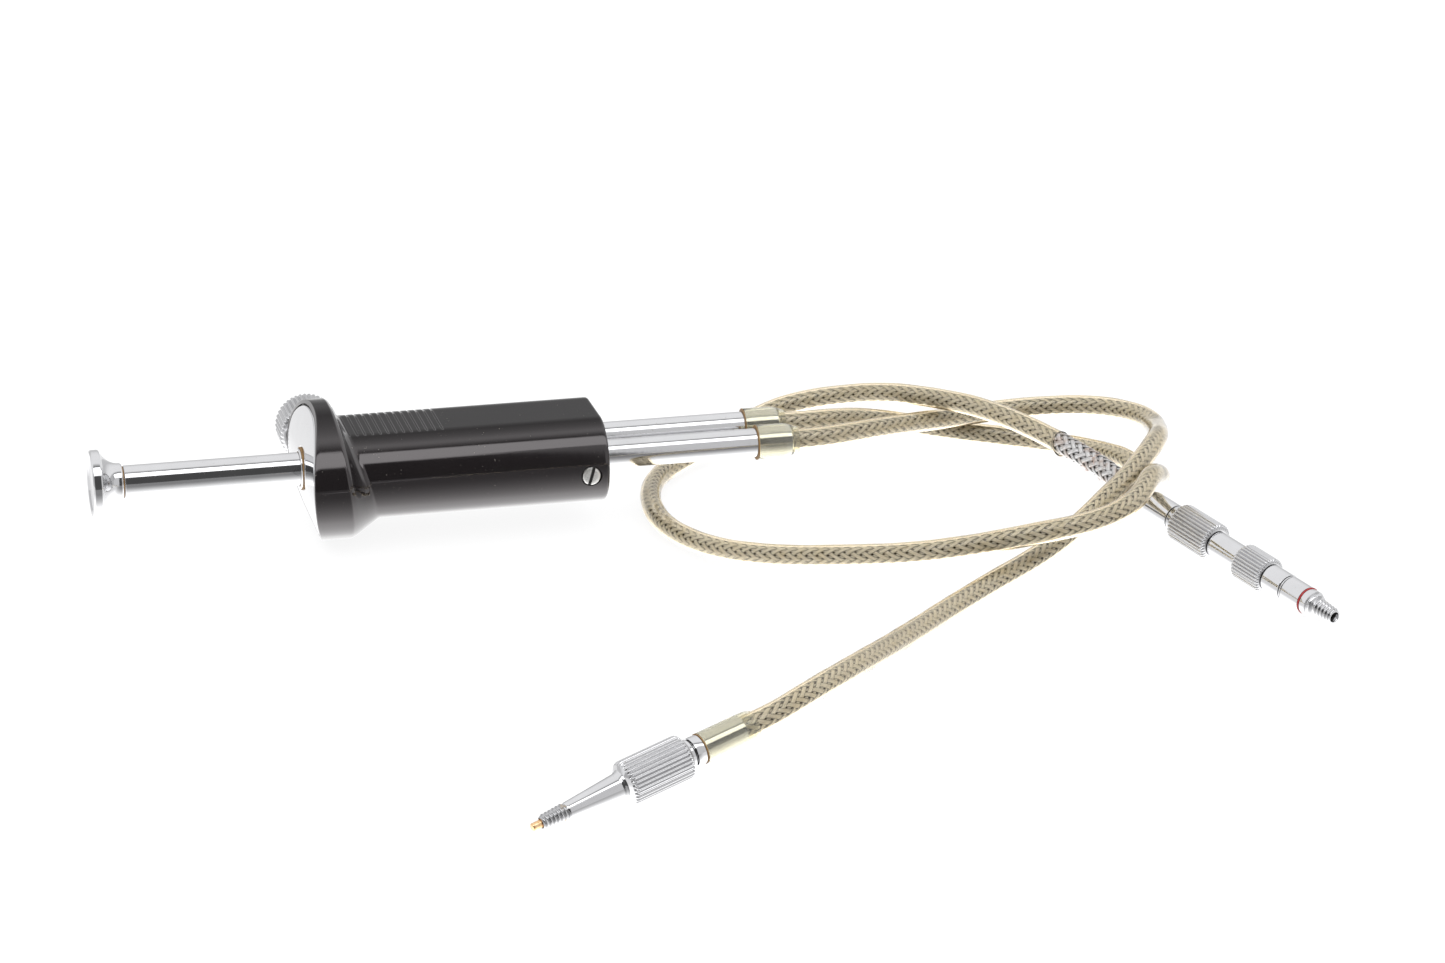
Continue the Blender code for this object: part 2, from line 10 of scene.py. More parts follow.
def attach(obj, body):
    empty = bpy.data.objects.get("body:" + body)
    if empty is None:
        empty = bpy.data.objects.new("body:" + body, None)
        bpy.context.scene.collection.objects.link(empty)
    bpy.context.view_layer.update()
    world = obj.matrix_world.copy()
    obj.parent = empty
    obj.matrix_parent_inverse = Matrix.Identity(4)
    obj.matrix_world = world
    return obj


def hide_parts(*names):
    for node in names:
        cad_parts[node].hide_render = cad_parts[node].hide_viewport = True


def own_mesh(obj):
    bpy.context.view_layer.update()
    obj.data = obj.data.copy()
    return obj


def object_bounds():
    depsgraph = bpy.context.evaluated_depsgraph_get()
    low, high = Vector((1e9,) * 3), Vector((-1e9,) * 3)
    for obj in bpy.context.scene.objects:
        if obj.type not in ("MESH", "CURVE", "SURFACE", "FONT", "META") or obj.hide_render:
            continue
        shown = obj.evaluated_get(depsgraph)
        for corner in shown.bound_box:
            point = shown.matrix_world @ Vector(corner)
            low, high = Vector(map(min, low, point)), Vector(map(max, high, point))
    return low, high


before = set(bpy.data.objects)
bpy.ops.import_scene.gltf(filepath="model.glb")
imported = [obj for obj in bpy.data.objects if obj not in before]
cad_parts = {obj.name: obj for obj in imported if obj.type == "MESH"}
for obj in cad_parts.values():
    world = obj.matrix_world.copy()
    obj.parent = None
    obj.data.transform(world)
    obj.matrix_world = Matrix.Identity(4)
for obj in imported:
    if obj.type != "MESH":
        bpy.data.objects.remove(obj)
cad_box = [list(corner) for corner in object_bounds()]

MM = 0.001                 # sizes are in millimetres unless a comment says metres
ROOT = "handle"            # the body that carries the handle, tubes and cables


# ---- node helpers

def set_inputs(tree, made, values):
    """Give a node's inputs values or other nodes' outputs."""
    for key, value in values.items():
        if isinstance(value, bpy.types.NodeSocket):
            tree.links.new(value, made.inputs[key])
        else:
            made.inputs[key].default_value = value


def node(tree, kind, inputs=None, **settings):
    """Add a shader node. Its kind is given without the prefix ShaderNode."""
    made = tree.nodes.new("ShaderNode" + kind)
    for key, value in settings.items():
        setattr(made, key, value)
    set_inputs(tree, made, inputs or {})
    return made


def maths(tree, operation, a, b=0.0):
    return node(tree, "Math", {0: a, 1: b}, operation=operation).outputs[0]


def add(tree, a, b):
    return maths(tree, "ADD", a, b)


def times(tree, a, b):
    return maths(tree, "MULTIPLY", a, b)


def xyz(tree, vector):
    return node(tree, "SeparateXYZ", {0: vector}).outputs


def ramp(tree, factor, stops):
    """Colour ramp with stops of (position, (r, g, b))."""
    made = node(tree, "ValToRGB", {"Fac": factor})
    elements = made.color_ramp.elements
    while len(elements) < len(stops):
        elements.new(0.5)
    for element, (position, colour) in zip(elements, stops):
        element.position = position
        element.color = (*colour, 1.0)
    return made.outputs["Color"]


def fade(tree, value, low, high, out_low=0.0, out_high=1.0):
    """Map value from low..high to out_low..out_high, clamped."""
    return node(tree, "MapRange", {"Value": value, "From Min": low, "From Max": high,
                                   "To Min": out_low, "To Max": out_high}).outputs[0]


def mix(tree, factor, a, b, **settings):
    """Blend two colours. Each may be a colour or a node's output."""
    ends = [end if isinstance(end, bpy.types.NodeSocket) else (*end, 1.0) for end in (a, b)]
    return node(tree, "Mix", {"Factor": factor, 6: ends[0], 7: ends[1]},
                data_type="RGBA", **settings).outputs[2]


def noise(tree, coords, scale, detail, roughness=0.55):
    return node(tree, "TexNoise", {"Vector": coords, "Scale": scale, "Detail": detail,
                                   "Roughness": roughness}).outputs[0]


def streaks(tree, coords, scale, detail=3.0):
    """Noise with a scale of its own along each axis."""
    stretched = node(tree, "Mapping", {"Vector": coords, "Scale": scale}).outputs[0]
    return noise(tree, stretched, 1.0, detail)


def bump(tree, height, strength, distance):
    """Bump from a height. The distance is in metres."""
    return node(tree, "Bump", {"Height": height, "Strength": strength,
                               "Distance": distance}).outputs[0]


def start_look(name):
    """A new material. Returns it with its tree, its shader and object coordinates."""
    made = bpy.data.materials.new(name)
    made.use_nodes = True
    tree = made.node_tree
    coords = node(tree, "TexCoord").outputs["Object"]
    return made, tree, tree.nodes["Principled BSDF"], coords


# ---- materials

def black_plastic_look():
    """Polished black moulding with fine rub marks and a little dust."""
    made, tree, shader, coords = start_look("moulded_black")
    cloud = noise(tree, coords, 70.0, 4.0)
    specks = fade(tree, noise(tree, coords, 2600.0, 1.0), 0.745, 0.80)
    patches = fade(tree, noise(tree, coords, 130.0, 2.0), 0.45, 0.65)
    dust = times(tree, specks, patches)
    film = mix(tree, cloud, (0.0050, 0.0038, 0.0042), (0.0080, 0.0064, 0.0068))
    upward = xyz(tree, node(tree, "NewGeometry").outputs["Normal"])[2]
    long_rubs = fade(tree, streaks(tree, coords, (90.0, 5200.0, 5200.0), 2.0), 0.62, 0.80)
    cross_rubs = fade(tree, streaks(tree, coords, (6000.0, 500.0, 240.0), 2.0), 0.66, 0.82)
    rubs = add(tree, long_rubs, cross_rubs)
    roughness = add(tree, fade(tree, cloud, 0.3, 0.7, 0.06, 0.12), times(tree, rubs, 0.12))
    shape = add(tree, times(tree, noise(tree, coords, 420.0, 2.0), 0.35),
                times(tree, rubs, -0.10))
    set_inputs(tree, shader, {
        "Base Color": mix(tree, dust, film, (0.22, 0.20, 0.17)),
        "Roughness": add(tree, roughness, times(tree, dust, 0.5)),
        # Faces that are not level on top get a higher IOR and so reflect more strongly: painted
        # reflection.
        "IOR": fade(tree, upward, 0.85, 0.98, 1.72, 1.16),
        "Specular Tint": (1.0, 0.95, 0.96, 1.0),
        "Normal": bump(tree, shape, 0.10, 0.0001),
    })
    return made


def chrome_look(name, shade=1.0, rough=0.055, rings=0.25, stain=0.0):
    """Chromium plate: turning marks round the local X axis, haze, pits and old stains."""
    made, tree, shader, coords = start_look(name)
    turning = streaks(tree, coords, (5200.0, 12.0, 12.0))
    haze = noise(tree, coords, 260.0, 4.0)
    pits = fade(tree, noise(tree, coords, 3100.0, 1.0), 0.76, 0.80)
    # A shade below 1 darkens the base colour: painted shade.
    bright = mix(tree, haze, (0.60 * shade, 0.60 * shade, 0.61 * shade),
                 (0.68 * shade, 0.68 * shade, 0.69 * shade))
    colour = mix(tree, pits, bright, (0.30, 0.26, 0.22))
    if stain:
        patch = fade(tree, noise(tree, coords, 520.0, 4.0), 0.60, 0.74)
        colour = mix(tree, times(tree, patch, stain), colour, (0.42, 0.30, 0.16))
    ripple = add(tree, times(tree, turning, rings), noise(tree, coords, 900.0, 2.0))
    set_inputs(tree, shader, {
        "Base Color": colour, "Metallic": 1.0,
        "Roughness": add(tree, fade(tree, haze, 0.35, 0.75, rough, rough + 0.06),
                         times(tree, pits, 0.3)),
        "Normal": bump(tree, ripple, 0.045, 0.00006),
    })
    return made


def steel_look(name, rust_share, colour_pair=((0.42, 0.41, 0.40), (0.66, 0.65, 0.63))):
    """Plain drawn metal with some rust."""
    made, tree, shader, coords = start_look(name)
    grain = streaks(tree, coords, (400.0, 6000.0, 6000.0))
    clean = mix(tree, grain, *colour_pair)
    spots = noise(tree, coords, 1500.0, 5.0, 0.65)
    rust = fade(tree, spots, 0.72 - 0.3 * rust_share, 0.80 - 0.2 * rust_share)
    relief = add(tree, grain, rust)
    set_inputs(tree, shader, {
        "Base Color": mix(tree, rust, clean,
                          mix(tree, grain, (0.20, 0.075, 0.025), (0.42, 0.20, 0.07))),
        "Metallic": maths(tree, "SUBTRACT", 1.0, rust),
        "Roughness": fade(tree, relief, 0.3, 1.6, 0.25, 0.8),
        "Normal": bump(tree, relief, 0.25, 0.00005),
    })
    return made


def brass_look():
    made, tree, shader, coords = start_look("worn_brass")
    cloud = noise(tree, coords, 900.0, 4.0)
    rings = streaks(tree, coords, (9000.0, 30.0, 30.0), 2.0)
    colour = ramp(tree, cloud, [(0.30, (0.38, 0.19, 0.09)), (0.50, (0.78, 0.49, 0.25)),
                                (0.72, (0.93, 0.70, 0.44))])
    set_inputs(tree, shader, {
        "Base Color": colour, "Metallic": 1.0,
        "Roughness": fade(tree, cloud, 0.3, 0.7, 0.42, 0.24),
        "Normal": bump(tree, rings, 0.2, 0.00004),
    })
    return made


def braid_look(name, light, dark, tint, tint_share, metallic):
    """Flat strands of fine parallel wires. The UV map runs across (x) and along (y) a strand."""
    made, tree, shader, coords = start_look(name)
    uv = node(tree, "UVMap", uv_map="strand").outputs[0]
    across = xyz(tree, uv)[0]
    wave = maths(tree, "SINE", times(tree, across, 5 * math.pi))
    wires = maths(tree, "ABSOLUTE", wave)
    sheen = streaks(tree, uv, (16.0, 1.2, 1.0))
    edge = maths(tree, "ABSOLUTE", maths(tree, "SUBTRACT", across, 0.5))
    # Darker between the wires and towards each strand's edges: painted shade between the wires and
    # between the strands.
    shade = times(tree, fade(tree, wires, 0.0, 0.55, 0.55, 1.0),
                  fade(tree, edge, 0.30, 0.5, 1.0, 0.12))
    grey = node(tree, "CombineColor", {0: shade, 1: shade, 2: shade}).outputs[0]
    colour = mix(tree, 1.0, mix(tree, fade(tree, sheen, 0.30, 0.70), dark, light), grey,
                 blend_type="MULTIPLY")
    cloud = fade(tree, noise(tree, coords, 420.0, 3.0), 0.50, 0.68)
    set_inputs(tree, shader, {
        "Base Color": mix(tree, times(tree, cloud, tint_share), colour, tint),
        "Metallic": metallic,
        "Roughness": fade(tree, sheen, 0.3, 0.7, 0.46, 0.30),
        "Normal": bump(tree, wires, 0.55, 0.00008),
    })
    return made


def clear_look(name, tint, density, rough, ior, surface=(1.0, 1.0, 1.0), milk=0.0):
    """Clear vinyl: refraction at the surface and a warm tint that deepens with thickness."""
    made, tree, shader, coords = start_look(name)
    cloud = noise(tree, coords, 300.0, 4.0)
    marks = streaks(tree, coords, (1400.0, 1400.0, 1400.0))
    set_inputs(tree, shader, {
        "Base Color": mix(tree, cloud, surface, tuple(0.97 * part for part in surface)),
        "Transmission Weight": 1.0 - milk, "IOR": ior,
        "Roughness": fade(tree, marks, 0.35, 0.75, rough, rough + 0.10),
        "Normal": bump(tree, cloud, 0.06, 0.0001),
    })
    absorb = node(tree, "VolumeAbsorption", {"Color": (*tint, 1.0), "Density": density})
    tree.links.new(absorb.outputs[0], tree.nodes["Material Output"].inputs["Volume"])
    return made


def matt_look(name, dark, light, rough):
    made, tree, shader, coords = start_look(name)
    cloud = noise(tree, coords, 900.0, 4.0)
    set_inputs(tree, shader, {
        "Base Color": mix(tree, cloud, dark, light),
        "Roughness": fade(tree, cloud, 0.3, 0.7, rough - 0.08, rough + 0.08),
        "Normal": bump(tree, cloud, 0.2, 0.00005),
    })
    return made


looks = {
    "black": black_plastic_look(),
    "chrome": chrome_look("chrome_plate"),
    # The knurl and thread copies of the chrome get a darker base colour (shade below 1): painted
    # shade. The thread stains are real.
    "knurl": chrome_look("chrome_knurl", 0.90, 0.13, 0.1),
    "thread": chrome_look("chrome_thread", 0.74, 0.18, 0.1, stain=1.0),
    "thread_clean": chrome_look("chrome_thread_clean", 0.86, 0.10, 0.1, stain=0.12),
    "steel": steel_look("drawn_steel", 0.15),
    "screw": steel_look("screw_steel", 0.30, ((0.70, 0.69, 0.67), (0.88, 0.87, 0.85))),
    "brass": brass_look(),
    "braid": braid_look("braid_in_jacket", (1.0, 0.985, 0.94), (0.76, 0.74, 0.68),
                        (0.84, 0.78, 0.62), 0.4, 0.15),
    "bare": braid_look("braid_bare", (0.97, 0.96, 0.96), (0.36, 0.35, 0.34),
                       (0.40, 0.25, 0.16), 0.40, 0.85),
    "jacket": clear_look("clear_vinyl", (1.0, 0.80, 0.32), 950.0, 0.03, 1.36),
    "sleeve": clear_look("smoky_vinyl", (0.90, 0.84, 0.56), 700.0, 0.06, 1.44,
                         (0.93, 0.92, 0.84), 0.06),
    "edge": matt_look("aged_edge", (0.11, 0.055, 0.015), (0.30, 0.17, 0.05), 0.55),
    "gap": matt_look("shadow_gap", (0.004, 0.004, 0.004), (0.012, 0.011, 0.010), 0.8),
    "red": matt_look("red_paint", (0.20, 0.004, 0.006), (0.33, 0.012, 0.013), 0.30),
    "copper": steel_look("copper_wire", 0.0, ((0.52, 0.26, 0.14), (0.80, 0.74, 0.70))),
    # The coil sheath is near-black so that the gaps in the braid look dark: painted shade under
    # the braid.
    "sheath": steel_look("sheath_painted_shade", 0.2, ((0.035, 0.030, 0.022), (0.08, 0.07, 0.05))),
    "fibre": matt_look("vulcanised_fibre", (0.13, 0.07, 0.035), (0.26, 0.15, 0.08), 0.75),
}


# ---- mesh helpers

def unit(vectors):
    return vectors / np.linalg.norm(vectors, axis=1)[:, None]


def circle(sides):
    return 2 * np.pi * np.arange(sides) / sides


def round_ring(x, radius, angle, shift=0.0):
    """A ring of points round the local X axis, shifted along Y."""
    return np.stack([x + 0 * angle, shift + radius * np.cos(angle), radius * np.sin(angle)], -1)


def rod_rings(path, side, up, radius, sides):
    """Rings of a round rod along a path, from two side vectors at each point."""
    angle = circle(sides)[None, :, None]
    return path[:, None] + radius * (np.cos(angle) * side[:, None] + np.sin(angle) * up[:, None])


def weigh_normals(obj):
    obj.modifiers.new("weighted", "WEIGHTED_NORMAL").keep_sharp = True


def linked(name, data):
    """A new object in the scene."""
    made = bpy.data.objects.new(name, data)
    bpy.context.collection.objects.link(made)
    return made


def make_object(name, points, quads, look, ngons=(), crease=38.0, place=None, weighted=False):
    """One object from points, faces turned outwards, smooth with sharp creases."""
    mesh = bpy.data.meshes.new(name)
    points = np.asarray(points, float).reshape(-1, 3) * MM
    mesh.from_pydata(points, [], [*quads, *ngons])
    mesh.validate()
    turned_out = bmesh.new()
    turned_out.from_mesh(mesh)
    bmesh.ops.recalc_face_normals(turned_out, faces=turned_out.faces[:])
    turned_out.to_mesh(mesh)
    turned_out.free()
    mesh.materials.append(looks[look])
    mesh.shade_smooth()
    mesh.set_sharp_from_angle(angle=math.radians(crease))
    obj = linked(name, mesh)
    if place is not None:
        obj.matrix_world = place
    if weighted:
        weigh_normals(obj)
    return obj


def ring_quads(rings, sides, closed):
    """Quads between rings of points; a closed run also joins the last ring to the first."""
    r = np.arange(rings if closed else rings - 1)[:, None]
    s = np.arange(sides)[None, :]
    here, there = r * sides, ((r + 1) % rings) * sides
    t = (s + 1) % sides
    return np.stack([here + s, here + t, there + t, there + s], -1).reshape(-1, 4)


def skinned(name, rings, look, closed=False, **options):
    """Skin a run of rings (an array of rings x sides x 3). Open ends get caps."""
    rings = np.asarray(rings, float)
    count, sides = rings.shape[:2]
    caps = () if closed else (np.arange(sides), np.arange((count - 1) * sides, count * sides))
    return make_object(name, rings, ring_quads(count, sides, closed), look, caps, **options)


def bundle(name, strands, look):
    """One object from several capped rods, each an array of rings x sides x 3."""
    quads, caps, total = [], [], 0
    for rings in strands:
        count, sides = rings.shape[:2]
        quads.append(ring_quads(count, sides, False) + total)
        caps += [np.arange(sides) + total, np.arange(sides) + total + (count - 1) * sides]
        total += count * sides
    points = np.concatenate([rings.reshape(-1, 3) for rings in strands])
    return make_object(name, points, np.concatenate(quads), look, caps, crease=60.0)


def eased(profile, reach, closed):
    """Round each corner of a profile with a short curve, so that edges catch the light."""
    stations = np.array([(*station, 0.0)[:3] for station in profile])
    count = len(stations)
    result = []
    for i in range(count):
        if not closed and i in (0, count - 1):
            result.append(stations[i])
            continue
        before, here, after = stations[i - 1], stations[i], stations[(i + 1) % count]
        gap_in = np.linalg.norm((here - before)[:2])
        gap_out = np.linalg.norm((after - here)[:2])
        a = here + (before - here) * min(reach, 0.4 * gap_in) / max(gap_in, 1e-9)
        b = here + (after - here) * min(reach, 0.4 * gap_out) / max(gap_out, 1e-9)
        result += [a, 0.25 * a + 0.5 * here + 0.25 * b, b]
    return np.array(result)


def flute(angle, count):
    """0 on a ridge and 1 at the bottom of a groove of a straight knurl."""
    return (0.5 - 0.5 * np.cos(count * angle)) ** 1.6


def turned(name, profile, look, closed=True, flutes=0, sides=96, ease=0.05, place=None,
           shift=0.0, crease=38.0, second=None):
    """Turn a profile of (x, radius) or (x, radius, flute depth) about the local X axis.

    second is (look, start, end): faces between start and end take that look instead.
    """
    angle = circle(flutes * 12 if flutes else sides)
    rings = []
    for x, radius, depth in eased(profile, ease, closed):
        cut = depth * flute(angle, flutes) if flutes else 0.0
        rings.append(round_ring(x, radius - cut, angle, shift))
    made = skinned(name, rings, look, closed, place=place, crease=crease, weighted=True)
    if second:
        other, start, end = second
        made.data.materials.append(looks[other])
        for face in made.data.polygons:
            face.material_index = int(start * MM < face.center.x < end * MM)
    return made


def threaded(name, start, end, root_start, root_end, crest, pitch, look, bore, place):
    """A tapered screw thread with a bore, as one closed body along the local X axis."""
    angle = circle(96)
    step, flank, chamfer = 0.045, 1.35, 0.06
    rings = []
    for x in np.arange(start, end + step / 2, step):
        share = (x - start) / (end - start)
        root = root_start + (root_end - root_start) * share
        phase = (x - start) / pitch - angle / (2 * np.pi)
        tooth = 1 - np.abs(2 * (phase - np.floor(phase)) - 1)
        tooth = np.clip(flank * tooth - 0.1, 0, 1)
        runout = np.clip(min(x - start, end - x) / (0.55 * pitch), 0, 1)
        rings.append(round_ring(x, root + crest * tooth * runout, angle))
    for x, radius in ((end + chamfer, root_end - 0.1), (end + chamfer, bore + chamfer),
                      (end, bore), (start, bore)):
        rings.append(round_ring(x, radius, angle))
    return skinned(name, rings, look, True, place=place, crease=50.0, weighted=True)


def carve(obj, cutters, crease=38.0):
    """Subtract the cutters from obj for good, then throw them away."""
    obj.modifiers.clear()
    for cutter in cutters:
        cut = obj.modifiers.new("cut", "BOOLEAN")
        cut.operation = "DIFFERENCE"
        cut.object = cutter
    graph = bpy.context.evaluated_depsgraph_get()
    mesh = bpy.data.meshes.new_from_object(obj.evaluated_get(graph))
    obj.modifiers.clear()
    obj.data = mesh
    for cutter in cutters:
        bpy.data.objects.remove(cutter)
    mesh.shade_smooth()
    mesh.set_sharp_from_angle(angle=math.radians(crease))
    weigh_normals(obj)


def cutter_rod(start, end, radius, sides=64):
    """A round cutter between two points."""
    start, end = Vector(start), Vector(end)
    direction = (end - start).normalized()
    across = direction.orthogonal().normalized()
    up = direction.cross(across)
    rings = [[foot + radius * (math.cos(angle) * across + math.sin(angle) * up)
              for angle in circle(sides)] for foot in (start, end)]
    return skinned("cutter", rings, "gap")


def dark_box(name, low, high):
    """A box between two corners, as a cutter or as a near-black block of painted shade."""
    corners = [[(x, low[1], low[2]), (x, high[1], low[2]), (x, high[1], high[2]),
                (x, low[1], high[2])] for x in (low[0], high[0])]
    return skinned(name, corners, "gap")


def finish_piece(obj, body, stands_for=None):
    """Ride on a body and stand for a CAD node."""
    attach(obj, body)
    if stands_for:
        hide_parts(stands_for)


def band(start, end, inner, outer):
    """The profile of a plain ring."""
    return [(start, inner), (start, outer), (end, outer), (end, inner)]


def piece(name, profile, look, body, slot=None, stands_for=None, **options):
    """A turned piece, finished."""
    finish_piece(turned(name, profile, look, **options), body, stands_for)


# ---- plunger

BUTTON_R, NECK_R, BUTTON_LENGTH = 6.4, 3.6, 5.3
DISH_R, DISH_DEPTH = 4.6, 0.35
FLARE_START, FLARE_END = 1.55, BUTTON_LENGTH - 0.25
STEM_R, STEM_START, STEM_END = 3.1, 5.6, 50.0
STUD_R, STUD_LENGTH, GAP = 1.5, 6.0, 0.3


def build_plunger():
    dish = [(DISH_DEPTH - DISH_DEPTH * (r / DISH_R) ** 2, r)
            for r in np.linspace(0.05, DISH_R, 12)]
    rim = [(-0.10, 5.1), (-0.42, 5.55), (-0.5, 5.85), (-0.45, 6.15), (-0.2, 6.36),
           (0.1, BUTTON_R), (1.05, BUTTON_R), (1.3, 6.3), (1.45, 6.0)]
    flare = [(FLARE_START + share * (FLARE_END - FLARE_START),
              NECK_R + 2.15 * (1 - share) ** 2.3) for share in np.linspace(0, 1, 14)]
    stud = [(BUTTON_LENGTH, NECK_R - 0.15), (BUTTON_LENGTH, STUD_R),
            (BUTTON_LENGTH + STUD_LENGTH, STUD_R)]
    piece("button_head", dish + rim + flare + stud, "chrome", "plunger", "chrome",
          "plunger_button", closed=False, ease=0.03, sides=128, crease=60.0)
    piece("stem_tube", [
        (STEM_START, STEM_R - 0.15), (STEM_START + 0.15, STEM_R), (20.0, STEM_R),
        (36.0, STEM_R), (STEM_END, STEM_R), (STEM_END, STUD_R),
        (STEM_END + STUD_LENGTH, STUD_R), (STEM_END + STUD_LENGTH, 0.4), (12.3, 0.4),
        (12.3, STUD_R + GAP), (STEM_START, STUD_R + GAP),
    ], "chrome", "plunger", "chrome", "plunger_stem")
    piece("stem_joint_ring", band(5.33, 5.57, 1.9, 2.95), "edge", "plunger", ease=0.03)


# ---- return spring

SPRING_START, SPRING_END, COIL_R, WIRE_R, COILS = 54.1, 84.0, 3.6, 0.3, 11


def build_spring():
    """Round-wire spring with closed ends."""
    end_pitch = 1.2
    turn = np.linspace(0, 2 * np.pi * COILS, COILS * 40 + 1)
    share = turn / turn[-1]
    closed_ends = np.clip((share - 0.07) / 0.86, 0, 1)
    x = (SPRING_START + WIRE_R + end_pitch * share
         + (SPRING_END - SPRING_START - 2 * WIRE_R - end_pitch) * closed_ends)
    outward = np.stack([0 * turn, np.cos(turn), np.sin(turn)], -1)
    middle = np.stack([x, COIL_R * np.cos(turn), COIL_R * np.sin(turn)], -1)
    rings = rod_rings(middle, outward, np.array([[1.0, 0.0, 0.0]]), WIRE_R, 10)
    spring = skinned("spring_wire", rings, "steel", crease=70.0)
    finish_piece(spring, ROOT, "return_spring")
    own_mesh(spring)


# ---- handle

AXIS_DROP, FRONT, REAR, FRONT_R = 0.4, 38.5, 94.5, 30.0
FLANGE_Y, FLANGE_Z, BODY_Y, BODY_Z = 17.5, 12.5, 13.3, 8.1
FLANGE_ROUND = 0.9         # the flange's roundness, nearly an ellipse
WALL_Y, WALL_Z = 1.7, 2.2
POCKET_START = 49.0
STEM_BORE_R, BUSH_BORE_R = 3.4, 4.05
GROOVES, GROOVE_PITCH, GROOVE_START = 13, 1.45, 46.9
GROOVE_HALF, GROOVE_DEPTH = 0.27, 0.32
GROOVE_NEAR, GROOVE_FAR, GROOVE_Z = -6.3, 9.4, 5.2        # the grooved part of the upper face
LANE = 5.2
SCREW_X, SCREW_Z = 91.0, -1.4
LOCK_X = 43.5
OUTLINE = 336              # points round the handle


def outline(half_y, half_z, roundness=0.0, count=OUTLINE):
    """Evenly spaced outline from a stadium (roundness 0) to an ellipse (roundness 1)."""
    angle = np.linspace(0, 2 * np.pi, 2401)
    c, s = np.cos(angle), np.sin(angle)
    flat = half_y - half_z
    y = roundness * half_y * c + (1 - roundness) * (np.sign(np.round(c, 9)) * flat + half_z * c)
    z = half_z * s
    walked = np.concatenate([[0], np.cumsum(np.hypot(np.diff(y), np.diff(z)))])
    stops = np.linspace(0, walked[-1], count, endpoint=False)
    return np.stack([np.interp(stops, walked, y), np.interp(stops, walked, z)], -1)


def front_x(z, radius=FRONT_R):
    return FRONT + FRONT_R - np.sqrt(radius ** 2 - z ** 2)


def grown(loop, by):
    """An outline moved outwards, or inwards where by is negative."""
    return loop * (1 + by / np.hypot(loop[:, 0], loop[:, 1]))[:, None]


def lofted(x, loop):
    """A ring of the handle: an outline at x, centred on the handle's own axis."""
    return np.stack([x + 0 * loop[:, 0], loop[:, 0], loop[:, 1] - AXIS_DROP], -1)


def smoothed(values, width):
    kernel = np.exp(-0.5 * (np.arange(-3 * width, 3 * width + 1) / width) ** 2)
    kernel /= kernel.sum()
    padded = np.pad(values, 3 * width, mode="edge")
    return np.convolve(padded, kernel, mode="valid")


